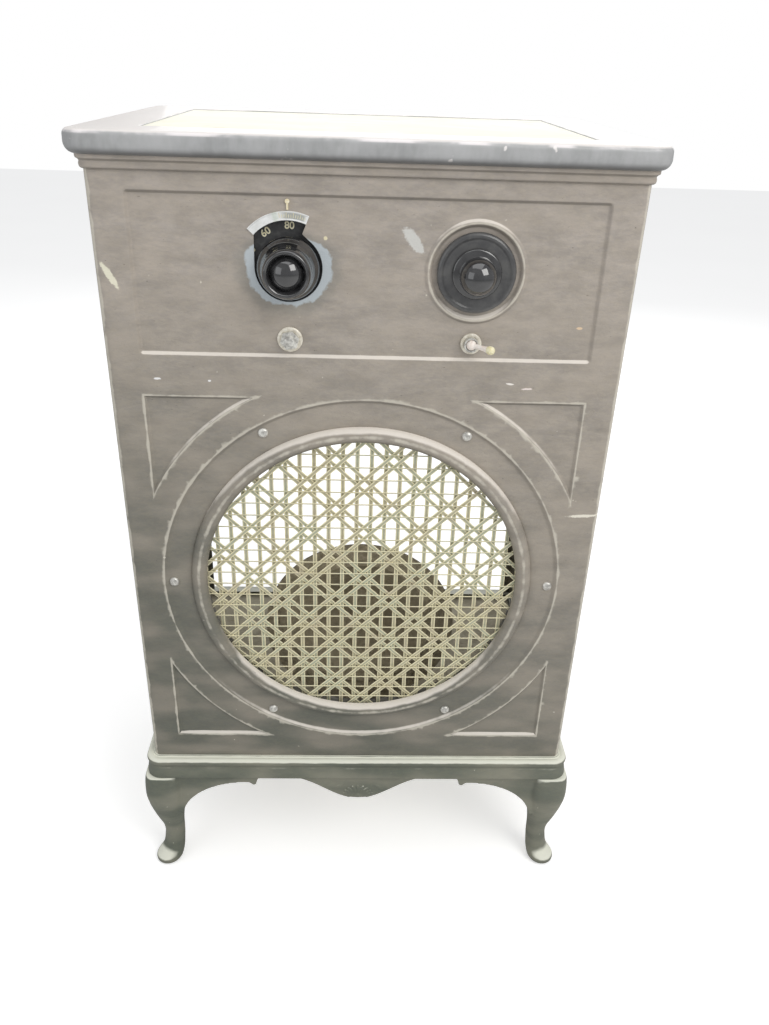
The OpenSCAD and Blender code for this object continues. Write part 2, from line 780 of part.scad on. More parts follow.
module rotor(x, shaft_from) {
    color("#dad7cc") translate([x, 0, shaft_z]) union() {
        for (i = [0:plate_count - 1]) slab(stack_y + (i + 0.5) * plate_pitch - plate_t / 2, plate_t)
            rotate(rest_turn) union() {
                intersection() {
                    circle(plate_r);
                    translate([-plate_r, -plate_r]) square([2 * plate_r, plate_r]);
                }
                circle(shaft_r + 2);
            }
        rod(0, shaft_from, 0, shaft_r, rear_y + 5 - shaft_from);
        turned(0, pulley_y, 0) difference() {
            square([pulley_r, pulley_t]);
            translate([12, 2.5]) square([pulley_r - 15, pulley_t]);
        }
    }
}

module rotor_left() { rotor(gang_xs[0], pulley_y - 1); }
module rotor_center() { rotor(gang_xs[1], front_y - 16); }
module rotor_right() { rotor(gang_xs[2], pulley_y - 1); }

belt_t = 0.6;
belt_w = 3.5;

module belt_outline(r) {
    for (x = [0, gang_pitch]) translate([x, 0]) circle(r);
    translate([0, -r]) square([gang_pitch, 2 * r]);
}

module drive_belts() {
    color("#b08d4c") for (i = [0, 1])
        slab(pulley_y + 0.5 + i * (belt_w + 0.8), belt_w) translate([gang_xs[i], shaft_z]) difference() {
            belt_outline(pulley_r + slack + belt_t);
            belt_outline(pulley_r + slack);
        }
}

// ---------------------------------------------------------------- front controls

dial_y = inner_y + 4;

module tuning_dial() {
    color("#232323") turned(tune_x, dial_y, shaft_z) translate([shaft_r + fit, 0]) union() {
        square([dial_r - shaft_r - fit, 2]);
        square([6, 11]);
    }
}

// Points of a dome of the given width and height whose tip lies at y, from rim to tip
function dome(w, h, y) = let (r = (w * w + h * h) / (2 * h), a = asin(w / r))
    [for (i = [0:6]) let (t = a * (1 - i / 6)) [r * sin(t), y + r - r * cos(t)]];

// Skirted knob with a raised front ring and a domed middle
module tuning_knob() {
    tip = -knob_reach;
    color("#1c1c1c") turned(tune_x, front_y, shaft_z) polygon(concat(
        [[0, -17], [shaft_r + fit, -17], [shaft_r + fit, 1.5], [knob_r - 1, 1.5], [knob_r, 0.5],
            [knob_r, -2], [knob_r - 1.2, -4.5], [knob_r - 3.5, -8], [knob_r - 4.8, -12],
            [knob_r - 5.2, tip + 7], [knob_r - 6, tip + 4], [knob_r - 7.6, tip + 2.2],
            [knob_r - 9, tip + 2.6], [knob_r - 10, tip + 5], [knob_r - 10.8, tip + 8]],
        dome(knob_r - 11.8, 6.5, tip)));
}

module dial_scale_arc() {
    color("#d6d8d4") slab(floor_y - 1.2, 1.2) translate([tune_x, shaft_z]) difference() {
        intersection() {
            circle(window_r + 6.5);
            wedge(window_r + 6.5, window_from, window_to);
        }
        circle(window_r);
    }
}

module dial_index() {
    color("#e2d49c") slab(floor_y - 1.2, 1.2) translate([tune_x, shaft_z + window_r + 7.5]) union() {
        translate([-0.7, 0]) square([1.4, 5]);
        translate([0, 6]) circle(1.7);
    }
}

disc_y = floor_y - slack;
bush_r = 4.6;

module volume_control() {
    color("#3a3733") translate([volume_x, 0, shaft_z]) union() {
        turned(0, inner_y, 0) difference() {
            union() {
                translate([0, -sheet - 2.3]) square([bush_r, sheet + 5]);
                square([19, 17]);
            }
            translate([0, -6]) square([shaft_r + fit, 24]);
        }
        // row of soldering lugs under the casing
        for (i = [-1:1]) translate([i * 9 - 2.5, inner_y + 9, -25]) cube([5, 1, 8]);
    }
}

module volume_nut() {
    color("#b8b4a8") translate([volume_x, floor_y, shaft_z]) rotate([90, 0, 0]) difference() {
        cylinder(h = 2, r = 7.5, $fn = 6);
        translate([0, 0, -1]) cylinder(h = 4, r = bush_r + fit);
    }
}

module volume_disc() {
    color("#1d1d1d") turned(volume_x, disc_y, shaft_z) polygon([[shaft_r + fit, -2.6], [9, -2.6],
        [9, 0], [disc_r - 1, 0], [disc_r, -1], [disc_r, -2.6], [disc_r - 0.8, -4],
        [disc_r - 2.4, -4.7], [disc_r - 4.5, -4.7], [disc_r - 6, -4.2], [shaft_r + fit, -4.2]]);
}

// Flanged knob with a waist and a round head, in one with its shaft
module volume_knob() {
    tip = -volume_reach - press_depth + slack;
    head = disc_r / 2 - 1;
    color("#191919") turned(volume_x, disc_y, shaft_z) polygon(concat(
        [[0, 24], [shaft_r, 24], [shaft_r, -4.2], [19, -4.2], [19.4, -5.4], [18.6, -6.6],
            [16, -7.4], [13, -8.4], [12.2, -10]],
        [for (a = [-10:12:74]) [head * cos(a), tip + head - head * sin(a)]], [[0, tip]]));
}

toggle_bush = 5.8;
toggle_ball = 4.3;
toggle_mouth = front_y - 4;
pivot_y = toggle_mouth + 1;

module toggle_switch() {
    color("#3b3833") difference() {
        union() {
            translate([volume_x - 13, inner_y + 1, fitting_z - 8]) cube([26, 20, 16]);
            rod(volume_x, toggle_mouth, fitting_z, toggle_bush, inner_y + 2 - toggle_mouth);
        }
        rod(volume_x, toggle_mouth - 1, fitting_z, toggle_ball + slack, 8);
    }
}

module toggle_nut() {
    color("#d3cfbf") turned(volume_x, floor_y, fitting_z) translate([toggle_bush + fit, -2.6])
        square([2.6, 2.6]);
}

module toggle_lever() {
    color("#e6dfc0") translate([volume_x, pivot_y, fitting_z]) rotate([90, 0, lever_throw]) union() {
        sphere(toggle_ball);
        cylinder(h = lever_l - 4, r1 = 1.8, r2 = 2.6);
        translate([0, 0, lever_l - 5]) sphere(3.4);
    }
}

stud_r = 4;
stud_tip = front_y - 6;

module chassis_stud() {
    color("#a9a79c") union() {
        rod(tune_x, stud_tip, fitting_z, stud_r, chassis_front - 3 - stud_tip);
        translate([tune_x - 7, chassis_front - 3, fitting_z - 16]) cube([14, 3, 22]);
    }
}

module chassis_stud_nut() {
    color("#cbc8bb") translate([tune_x, floor_y, fitting_z]) rotate([90, 0, 0]) difference() {
        union() {
            cylinder(h = 1.2, r = 10.2);
            cylinder(h = 5.4, r = 7.8, $fn = 6);
        }
        translate([0, 0, -1]) cylinder(h = 8, r = stud_r + fit);
    }
}

// ---------------------------------------------------------------- valves and power supply

valve_y = chassis_back - 28;
valve_seat = 8;
valve_foot = deck_z + valve_seat;
valve_base_h = 28;
valve_h = 80;

module on_valves() {
    for (i = [0:valve_count - 1])
        translate([(i - (valve_count - 1) / 2) * valve_pitch, valve_y, 0]) children();
}

module valve_sockets() {
    color("#5a4632") on_valves() translate([0, 0, deck_z]) cylinder(h = valve_seat, r = 19);
}

module valve_bases() {
    color("#3a2418") on_valves() translate([0, 0, valve_foot]) cylinder(h = valve_base_h, r = 17);
}

// Pear-shaped bulb with a drawn tip
module valve_glasses() {
    color("#b9c0bd") on_valves() translate([0, 0, valve_foot + valve_base_h]) rotate_extrude()
        polygon(concat([[0, 0], [15.5, 0], [15.5, 3]],
            [for (a = [-40:10:70]) [valve_r * cos(a), valve_h - valve_r - 7 + valve_r * sin(a)]],
            [[3.4, valve_h - 6], [2, valve_h - 1.5], [0, valve_h]]));
}

core_w = 68;
core_d = 34;
core_h = 70;
bell_d = 20;
can_w = 34;
can_d = 54;
can_h = 74;
can_gap = 10;
transformer_x = chassis_w / 2 - core_w / 2 - 8;
transformer_y = chassis_front + 62;
cans_x = transformer_x - core_w / 2 - can_gap - can_w / 2;

module power_transformer() {
    color("#4c4a45") translate([transformer_x - core_w / 2, transformer_y - core_d / 2, deck_z])
        cube([core_w, core_d, core_h]);
}

module transformer_bells() {
    color("#3f3e3a") for (s = [-1, 1])
        translate([transformer_x, transformer_y + s * core_d / 2, deck_z + core_h / 2])
            rotate([s > 0 ? -90 : 90, 0, 0]) union() {
                linear_extrude(3) rounded(core_w - 4, core_h - 8, 5);
                linear_extrude(bell_d) rounded(core_w - 22, core_h - 24, 9);
            }
}

module filter_cans() {
    color("#86837a") for (i = [0, 1])
        translate([cans_x, chassis_front + 34 + i * (can_d + 8), deck_z]) linear_extrude(can_h)
            rounded(can_w, can_d, 5);
}

// ---------------------------------------------------------------- loudspeaker

board_top = ledge_z + board_t;
speaker_z = board_top + 1 + speaker_r;
speaker_y = front_y + speaker_back;
cone_r = speaker_r - 12;
magnet_r = 38;
magnet_l = 44;

// Pressed basket: a flat rim, a coned body with windows and a back plate
module speaker_frame() {
    color("#3c3b38") difference() {
        turned(0, speaker_y, speaker_z) union() {
            translate([cone_r - 2, 0]) square([speaker_r - cone_r + 2, 3]);
            polygon([[cone_r - 2, 0], [cone_r + 3, 0], [cone_r + 3, 5], [44, basket_depth],
                [14, basket_depth], [14, basket_depth - 3], [41, basket_depth - 3], [cone_r - 2, 5]]);
        }
        for (a = [0:60:300]) translate([0, speaker_y + 14, speaker_z]) rotate([0, a + 30, 0])
            translate([-18, 0, 30]) cube([36, 34, 80]);
    }
}

module speaker_cone() {
    color("#b09a72") turned(0, speaker_y, speaker_z) polygon([[cone_r - 2 - slack, 0.4],
        [cone_r - 6, 0.4], [cone_r - 9, 2.4], [cone_r - 13, 1.2], [20, 44], [12, 41], [0, 38],
        [0, 39.4], [12, 42.4], [19, 46], [20.5, 46], [cone_r - 12.6, 3.4], [cone_r - 9, 4.4],
        [cone_r - 2 - slack, 2.2]]);
}

module speaker_magnet() {
    color("#5a5853") turned(0, speaker_y + basket_depth, speaker_z) polygon([[0, 0],
        [magnet_r - 1.5, 0], [magnet_r, 1.5], [magnet_r, magnet_l - 3], [magnet_r - 3, magnet_l],
        [9, magnet_l], [9, magnet_l + 4], [0, magnet_l + 4]]);
}

module speaker_foot() {
    color("#4d4b46") union() {
        translate([-45, speaker_y + 3.2, board_top]) cube([90, 62, 3]);
        difference() {
            translate([-45, speaker_y + 3.2, board_top]) cube([90, 3, 26]);
            rod(0, speaker_y, speaker_z, cone_r + 3 + slack, 12);
        }
        difference() {
            translate([-30, speaker_y + basket_depth + 14, board_top])
                cube([60, 12, speaker_z - board_top - 20]);
            rod(0, speaker_y + basket_depth, speaker_z, magnet_r + fit, 60);
        }
        translate([-30, speaker_y + 60, board_top]) cube([60, basket_depth - 34, 3]);
    }
}

// ---------------------------------------------------------------- nodes

front_panel();
side_panel_left();
side_panel_right();
neck_moulding();
rear_cover();
rear_cover_screws();
cable_grommet();
lid();
lid_top_panel();
base_moulding();
front_apron();
floor_board();
leg_front_left();
leg_front_right();
leg_rear_left();
leg_rear_right();
leg_bolts();
grille_wires();
grille_strands_rising();
grille_strands_falling();
grille_bars();
grille_clamp_ring();
grille_bolts();
grille_nuts();
shelf_rail_left();
shelf_rail_right();
set_shelf();
chassis_pan();
condenser_frames();
condenser_stators();
rotor_left();
rotor_center();
rotor_right();
drive_belts();
tuning_dial();
tuning_knob();
dial_scale_arc();
dial_index();
volume_control();
volume_nut();
volume_disc();
volume_knob();
toggle_switch();
toggle_nut();
toggle_lever();
chassis_stud();
chassis_stud_nut();
valve_sockets();
valve_bases();
valve_glasses();
power_transformer();
transformer_bells();
filter_cans();
speaker_frame();
speaker_cone();
speaker_magnet();
speaker_foot();
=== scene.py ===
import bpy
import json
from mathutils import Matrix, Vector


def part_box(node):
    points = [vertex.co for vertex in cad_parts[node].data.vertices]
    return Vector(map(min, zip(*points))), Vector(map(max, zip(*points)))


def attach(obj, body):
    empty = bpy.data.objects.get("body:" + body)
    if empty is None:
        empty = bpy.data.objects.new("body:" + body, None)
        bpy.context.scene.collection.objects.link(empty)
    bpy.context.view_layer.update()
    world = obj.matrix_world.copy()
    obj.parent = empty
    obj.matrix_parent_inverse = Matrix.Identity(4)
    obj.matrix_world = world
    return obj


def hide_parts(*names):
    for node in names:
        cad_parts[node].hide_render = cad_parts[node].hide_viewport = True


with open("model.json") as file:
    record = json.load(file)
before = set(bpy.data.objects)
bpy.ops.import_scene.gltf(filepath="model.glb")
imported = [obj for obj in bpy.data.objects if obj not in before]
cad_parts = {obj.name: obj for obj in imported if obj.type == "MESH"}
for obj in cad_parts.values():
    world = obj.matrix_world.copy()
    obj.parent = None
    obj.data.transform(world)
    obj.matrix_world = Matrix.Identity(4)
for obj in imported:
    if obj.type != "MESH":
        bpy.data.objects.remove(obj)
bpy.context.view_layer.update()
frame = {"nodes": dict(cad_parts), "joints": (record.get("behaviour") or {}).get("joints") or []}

import json
import math
import random
import bpy
import bmesh
from mathutils import Matrix, Vector, geometry, noise

mm = 0.001
joints = {joint["name"]: joint for joint in frame["joints"]}


def span(node):
    low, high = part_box(node)
    return low / mm, high / mm


panelLow, panelHigh = span("front_panel")
ringLow, ringHigh = span("grille_bolts")
tuneX, tuneZ = (joints["tuning_turn"]["pos_m"][i] / mm for i in (0, 2))
volumeX, volumeZ = (joints["volume_turn"]["pos_m"][i] / mm for i in (0, 2))

# what the other pieces line up with, in millimetres
cabinet = {
    "half": panelHigh.x, "foot": panelLow.z, "top": panelHigh.z, "base": round(span("base_moulding")[0].z, 3),
    "beadProud": 4.0,
    "cornerRadius": 7.0, "returnLength": 14.0, "sheet": 1.6, "press": 2.5, "depth": 315.0,
}
frontY = panelLow.y + cabinet["beadProud"]
backY = frontY + cabinet["depth"]
midY = (frontY + backY) / 2
floorY = frontY + cabinet["press"]
ringZ = (ringLow.z + ringHigh.z) / 2
lowerZ = round(joints["toggle_throw"]["pos_m"][2] / mm, 3)  # the toggle and the stud share this height


class Wire:
    def __init__(self, kit, socket):
        self.kit = kit
        self.socket = socket

    def __add__(self, other): return self.kit.math("ADD", self, other)
    def __radd__(self, other): return self.kit.math("ADD", other, self)
    def __sub__(self, other): return self.kit.math("SUBTRACT", self, other)
    def __rsub__(self, other): return self.kit.math("SUBTRACT", other, self)
    def __mul__(self, other): return self.kit.math("MULTIPLY", self, other)
    def __rmul__(self, other): return self.kit.math("MULTIPLY", other, self)
    def __truediv__(self, other): return self.kit.math("DIVIDE", self, other)
    def __rtruediv__(self, other): return self.kit.math("DIVIDE", other, self)
    def __neg__(self): return self.kit.math("MULTIPLY", self, -1.0)
    def __abs__(self): return self.kit.math("ABSOLUTE", self)


class Kit:
    def __init__(self, tree):
        self.tree = tree

    # one method for every node: its type, its settings, then its sockets' values or links
    def add(self, kind, settings=None, sockets=None, out=0):
        node = self.tree.nodes.new(kind)
        for name, value in (settings or {}).items():
            if name == "stops":
                ramp = node.color_ramp.elements
                while len(ramp) < len(value):
                    ramp.new(0.5)
                for stop, (at, color) in zip(ramp, value):
                    stop.position = at
                    stop.color = (*color, 1.0)
            else:
                setattr(node, name, value)
        for key, value in (sockets or {}).items():
            if isinstance(key, int):
                socket = node.inputs[key]
            else:
                socket = next(s for s in node.inputs if s.enabled and key in (s.name, s.identifier))
            if isinstance(value, Wire):
                self.tree.links.new(value.socket, socket)
            else:
                socket.default_value = value
        if not node.outputs:
            return node
        if isinstance(out, str):
            return Wire(self, next(s for s in node.outputs if s.enabled and s.name == out))
        return Wire(self, node.outputs[out])

    def math(self, operation, *values):
        return self.add("ShaderNodeMath", {"operation": operation}, dict(enumerate(values)))

    def vector(self, operation, *values):
        out = "Value" if operation in ("LENGTH", "DISTANCE", "DOT_PRODUCT") else "Vector"
        return self.add("ShaderNodeVectorMath", {"operation": operation},
                        dict(enumerate(values)), out)

    # 0 below low, 1 above high, smooth between
    def ease(self, value, low, high):
        return self.add("ShaderNodeMapRange", {"interpolation_type": "SMOOTHSTEP"},
                        {0: value, 1: low, 2: high, 3: 0.0, 4: 1.0})

    def mix(self, amount, first, second, blend="MIX"):
        def full(color):
            return (*color, 1.0) if isinstance(color, tuple) and len(color) == 3 else color
        return self.add("ShaderNodeMix", {"data_type": "RGBA", "blend_type": blend},
                        {"Factor": amount, "A": full(first), "B": full(second)}, "Result")

    def grain(self, place, scale, detail=3.0, rough=0.5, twist=0.0):
        return self.add("ShaderNodeTexNoise", {}, {"Vector": place, "Scale": scale, "Detail": detail,
                                                   "Roughness": rough, "Distortion": twist})

    def place(self, stretch=(1.0, 1.0, 1.0), centre=(0.0, 0.0, 0.0)):
        spot = self.add("ShaderNodeTexCoord", out="Object")
        moved = self.vector("SUBTRACT", spot, centre)
        return self.vector("MULTIPLY", moved, stretch)

    def parts(self, vector):
        node = self.tree.nodes.new("ShaderNodeSeparateXYZ")
        self.tree.links.new(vector.socket, node.inputs[0])
        return [Wire(self, s) for s in node.outputs]

    def facing(self):
        return self.parts(self.add("ShaderNodeNewGeometry", out="Normal"))


finishes = {}


def emptyTree(owner):
    owner.use_nodes = True
    owner.node_tree.nodes.clear()
    return Kit(owner.node_tree)


def putInScene(name, data):
    piece = bpy.data.objects.new(name, data)
    bpy.context.scene.collection.objects.link(piece)
    return piece


def finish(name, build):
    material = bpy.data.materials.new(name)
    kit = emptyTree(material)
    facts = build(kit)
    bumps = facts.pop("bumps", [])
    normal = None
    for height, strength, reach in bumps:
        sockets = {"Strength": strength, "Distance": reach, "Height": height}
        if normal:
            sockets["Normal"] = normal
        normal = kit.add("ShaderNodeBump", {}, sockets)
    if normal:
        facts["Normal"] = normal
    surface = kit.add("ShaderNodeBsdfPrincipled", {}, facts)
    kit.add("ShaderNodeOutputMaterial", {}, {"Surface": surface})
    finishes[name] = material
    return material


# the camera stands a little above the lid and looks down
cameraFacts = {"at": (-0.00954, -0.82175, 0.79306), "lens": 30.09,
               "yaw": 0.0416, "pitch": 0.4859, "roll": 0.0346}


def makeCamera():
    c = cameraFacts
    forward = Vector((math.sin(c["yaw"]) * math.cos(c["pitch"]),
                      math.cos(c["yaw"]) * math.cos(c["pitch"]), -math.sin(c["pitch"])))
    right = Vector((math.cos(c["yaw"]), -math.sin(c["yaw"]), 0.0))
    up = right.cross(forward)
    across = right * math.cos(c["roll"]) + up * math.sin(c["roll"])
    upward = up * math.cos(c["roll"]) - right * math.sin(c["roll"])
    data = bpy.data.cameras.new("camera")
    data.lens = c["lens"]
    data.sensor_width = 36.0
    data.clip_start = 0.01
    camera = putInScene("camera", data)
    turn = Matrix((across, upward, -forward)).transposed().to_4x4()
    turn.translation = Vector(c["at"])
    camera.matrix_world = turn
    bpy.context.scene.camera = camera


makeCamera()
print("camera ready")

# paints and metals


def speckle(kit, place, scale, amount):
    spots = kit.grain(place, scale, 2.0, 0.6)
    return kit.ease(spots, amount, amount + 0.05)


# an uneven wrinkle paint, lighter at the top and darker down the cabinet and towards its left: partly its own
# tone, partly painted light and painted shade
paintFacts = {
    # upper, middle and lower hold the paint's tone, with painted light at the top and painted shade low down
    "upper": (0.43, 0.385, 0.345), "middle": (0.36, 0.325, 0.285), "lower": (0.125, 0.13, 0.108),
    # the dust colour also serves as a painted highlight on faces that look up
    # the grime colour also serves as painted shade on faces that look down
    "chip": (0.72, 0.68, 0.58), "dustAndHighlight": (0.92, 0.86, 0.78), "grimeAndShade": (0.10, 0.095, 0.08),
    "bare": (0.52, 0.57, 0.60), "toneAndShadeFrom": 0.14, "toneAndShadeTo": 0.64,
    "brightFrom": 0.48, "brightTo": 0.72, "warm": (0.46, 0.40, 0.33),
}
# bare metal round the tuning dial, then a stain round that: distances from its axis
haloFacts = {"bareFrom": 0.0325, "bareTo": 0.0350, "stainFrom": 0.036, "stainTo": 0.046,
             "stain": (0.20, 0.21, 0.19)}
# old scuffs: across, up, half length, half width, lean, colour
scuffs = (
    (-0.1985, 0.640, 0.0125, 0.0030, -1.05, (0.86, 0.83, 0.66)),
    (0.0335, 0.672, 0.0130, 0.0050, -0.9, (0.66, 0.66, 0.63)),
    (-0.0335, 0.672, 0.0016, 0.0016, 0.0, (0.86, 0.78, 0.52)),
    (0.118, 0.560, 0.0042, 0.0009, -0.1, (0.95, 0.90, 0.84)),
    (0.133, 0.556, 0.0050, 0.0009, 0.05, (0.90, 0.80, 0.76)),
    (0.170, 0.607, 0.0030, 0.0012, 0.0, (0.80, 0.60, 0.40)),
    (0.196, 0.438, 0.0150, 0.0016, 0.05, (0.88, 0.84, 0.72)),
    (-0.170, 0.5585, 0.0030, 0.0011, 0.0, (0.95, 0.95, 0.95)),
    (-0.128, 0.5575, 0.0014, 0.0009, 0.0, (0.95, 0.95, 0.95)),
)


def wrinklePaint(kit, tint=(1.0, 1.0, 1.0), dustAndHighlight=0.7, halo=False, wear=False):
    p = paintFacts
    place = kit.place()
    x, _, z = kit.parts(place)
    streak = kit.place((1.0, 1.0, 2.4))
    # painted shade, partly the paint's own tone: darker down the cabinet and towards its left
    toneAndShade = kit.ease(z + (kit.grain(place, 6.0) - 0.5) * 0.12 + x * 0.55, p["toneAndShadeFrom"], p["toneAndShadeTo"])
    # painted light, partly the paint's own tone: lighter towards the top
    high = kit.ease(z, p["brightFrom"], p["brightTo"])
    color = kit.mix(toneAndShade, p["lower"], p["middle"])
    color = kit.mix(high, color, p["upper"])
    blotch = kit.grain(streak, 34.0, 4.0, 0.62)
    fine = kit.grain(streak, 190.0, 3.0, 0.6, 0.6)
    color = kit.mix(kit.ease(blotch, 0.3, 0.7), kit.mix(0.30, color, p["grimeAndShade"]), color)
    color = kit.mix(kit.ease(fine, 0.35, 0.68) * 0.34, color, p["chip"], "SOFT_LIGHT")
    warm = kit.ease(kit.grain(streak, 14.0, 2.0), 0.35, 0.7)
    color = kit.mix(warm * 0.35, color, p["warm"])
    pits = kit.ease(kit.grain(streak, 260.0, 2.0, 0.5), 0.28, 0.20)
    color = kit.mix(pits * 0.55, color, p["grimeAndShade"])
    color = kit.mix(speckle(kit, place, 120.0, 0.735) * 0.8, color, p["chip"])
    normal = kit.facing()
    # dust, and a painted highlight: faces that look up are lightened towards pale cream
    ledge = kit.ease(normal[2] + (kit.grain(place, 60.0) - 0.5) * 0.35, 0.34, 0.62)
    color = kit.mix(ledge * dustAndHighlight, color, p["dustAndHighlight"])
    # painted shade: faces that look down are darkened
    under = kit.ease(-normal[2], 0.25, 0.75)
    color = kit.mix(under * 0.5, color, p["grimeAndShade"])
    rough = 0.46 + blotch * 0.22
    if wear:
        rub = kit.add("ShaderNodeAttribute", {"attribute_name": "wear"}, {}, "Fac")
        rub = kit.ease(rub + (kit.grain(place, 90.0, 4.0) - 0.5) * 1.1, 0.55, 0.95)
        color = kit.mix(rub * 0.6, color, p["chip"])
    if halo:
        h = haloFacts
        dx = x - tuneX * mm
        dz = z - tuneZ * mm
        reach = kit.math("SQRT", dx * dx + dz * dz)
        ragged = (kit.grain(place, 55.0, 4.0, 0.6) - 0.5) * 0.014
        nibbled = (kit.grain(place, 260.0, 2.0) - 0.5) * 0.004
        edge = reach + ragged + nibbled + kit.ease(dz, 0.012, 0.030) * 0.012
        edge = edge + kit.ease(-dz, 0.004, 0.03) * 0.004
        bare = 1.0 - kit.ease(edge, h["bareFrom"], h["bareTo"])
        color = kit.mix(bare * 0.9, color, p["bare"])
        stain = 1.0 - kit.ease(edge, h["stainFrom"], h["stainTo"])
        color = kit.mix(stain * 0.35, color, h["stain"])
        color = kit.mix(bare * 0.85, color, p["bare"])
        for sx, sz, sl, sw, lean, shade in scuffs:
            ux = x - sx
            uz = z - sz
            along = (ux * math.cos(lean) + uz * math.sin(lean)) / sl
            across = (uz * math.cos(lean) - ux * math.sin(lean)) / sw
            spot = along * along + across * across + (kit.grain(place, 420.0, 3.0) - 0.5) * 1.6
            color = kit.mix((1.0 - kit.ease(spot, 0.5, 1.1)) * 0.85, color, shade)
    if tint != (1.0, 1.0, 1.0):
        color = kit.mix(1.0, color, tint, "MULTIPLY")
    heights = kit.grain(kit.place((1.0, 1.0, 1.9)), 330.0, 4.0, 0.62, 0.8)
    broad = kit.grain(streak, 75.0, 3.0, 0.55, 0.4)
    return {"Base Color": color, "Roughness": rough, "Specular IOR Level": 0.45,
            "bumps": [(broad, 0.55, 0.0011), (heights, 0.5, 0.0005)]}


finish("cabinetFront", lambda kit: wrinklePaint(kit, halo=True, wear=True))
finish("cabinetPaint", lambda kit: wrinklePaint(kit))
finish("basePaint", lambda kit: wrinklePaint(kit, tint=(0.93, 1.0, 0.95), dustAndHighlight=0.85))
finish("coverPaint", lambda kit: wrinklePaint(kit, tint=(0.72, 0.70, 0.68), dustAndHighlight=0.4))


lidPaintFacts = {
    "dark": (0.30, 0.305, 0.305), "light": (0.42, 0.425, 0.425), "fleck": (0.50, 0.50, 0.51),
    # the shoulder colour is a painted highlight along the rounded edge
    # the top colour is a painted sheen on faces that look up
    "top": (0.78, 0.74, 0.71), "shoulderHighlight": (0.93, 0.88, 0.88), "chip": (0.88, 0.84, 0.82),
    # the under colour is painted shade on faces that look down
    "under": (0.07, 0.07, 0.068),
}


def lidPaintLook(kit):
    p = lidPaintFacts
    place = kit.place()
    normal = kit.facing()
    blotch = kit.grain(place, 22.0, 4.0, 0.6)
    color = kit.mix(kit.ease(blotch, 0.3, 0.7), p["dark"], p["light"])
    fine = kit.grain(kit.place((1.0, 1.0, 0.4)), 160.0, 3.0)
    color = kit.mix(kit.ease(fine, 0.3, 0.7) * 0.35, color, p["fleck"])
    # painted sheen: faces that look up are painted in a lighter colour
    top = kit.ease(normal[2] + (kit.grain(place, 45.0) - 0.5) * 0.25, 0.55, 0.92)
    color = kit.mix(top, color, p["top"])
    # painted highlight, in patches, on the rounded edge of the lid
    shoulderHighlight = kit.ease(normal[2], 0.30, 0.55) * (1.0 - kit.ease(normal[2], 0.75, 0.97))
    shoulderHighlight = shoulderHighlight * kit.ease(kit.grain(place, 30.0, 3.0), 0.42, 0.62)
    color = kit.mix(shoulderHighlight * 0.75, color, p["shoulderHighlight"])
    chips = speckle(kit, place, 75.0, 0.70)
    color = kit.mix(chips * 0.85, color, p["chip"])
    # painted shade: faces that look down are darkened
    under = kit.ease(-normal[2], 0.2, 0.8)
    color = kit.mix(under * 0.75, color, p["under"])
    return {"Base Color": color, "Roughness": 0.36 + blotch * 0.2, "Coat Weight": 0.15,
            "bumps": [(kit.grain(place, 210.0, 3.0), 0.35, 0.0005)]}


enamelFacts = {"cream": (0.82, 0.79, 0.62), "pale": (0.90, 0.88, 0.76), "stain": (0.60, 0.55, 0.40),
               "speck": (0.42, 0.38, 0.28)}


def lidEnamelLook(kit):
    p = enamelFacts
    place = kit.place()
    cloud = kit.grain(place, 9.0, 4.0, 0.6, 0.5)
    color = kit.mix(kit.ease(cloud, 0.3, 0.7), p["cream"], p["pale"])
    stain = kit.ease(kit.grain(place, 30.0, 3.0), 0.60, 0.72)
    color = kit.mix(stain * 0.35, color, p["stain"])
    color = kit.mix(speckle(kit, place, 90.0, 0.72) * 0.5, color, p["speck"])
    return {"Base Color": color, "Roughness": 0.34 + cloud * 0.2,
            "bumps": [(kit.grain(place, 120.0, 3.0), 0.2, 0.0005)]}


# strands carry an edge value: 0 along the middle, 1 at their rims; the pale rim colour is a painted highlight
latticeFacts = {"rim": (0.90, 0.84, 0.58), "hollow": (0.46, 0.42, 0.28), "moss": (0.42, 0.44, 0.32),
                "tarnish": (0.55, 0.45, 0.34)}


def lacquerLook(kit):
    f = latticeFacts
    place = kit.place()
    edge = kit.add("ShaderNodeAttribute", {"attribute_name": "edge"}, {}, "Fac")
    # painted highlight: the rims are lighter than the strand's body
    rim = kit.ease(edge + (kit.grain(place, 160.0) - 0.5) * 0.25, 0.30, 0.78)
    body = kit.mix(kit.ease(kit.grain(place, 24.0, 2.0), 0.4, 0.65), f["hollow"], f["moss"])
    color = kit.mix(rim, body, f["rim"])
    tarnish = kit.ease(kit.grain(place, 55.0, 4.0, 0.65), 0.52, 0.70)
    color = kit.mix(tarnish * 0.4, color, f["tarnish"])
    return {"Base Color": color, "Roughness": 0.42, "Metallic": 0.15,
            "bumps": [(kit.grain(place, 500.0, 2.0), 0.2, 0.0003)]}


def glazeLook(kit):
    place = kit.place()
    haze = kit.grain(place, 120.0, 3.0)
    color = kit.mix(kit.ease(haze, 0.4, 0.7), (0.018, 0.018, 0.019), (0.035, 0.035, 0.036))
    return {"Base Color": color, "Roughness": 0.07 + kit.ease(haze, 0.4, 0.8) * 0.12,
            "Specular IOR Level": 0.75, "Coat Weight": 1.0, "Coat Roughness": 0.04}


def discLook(kit):
    place = kit.place()
    haze = kit.grain(place, 90.0, 4.0, 0.6)
    color = kit.mix(kit.ease(haze, 0.35, 0.7), (0.062, 0.062, 0.064), (0.10, 0.10, 0.098))
    return {"Base Color": color, "Roughness": 0.22 + haze * 0.25, "Coat Weight": 0.4,
            "bumps": [(kit.grain(place, 700.0, 2.0), 0.08, 0.0002)]}


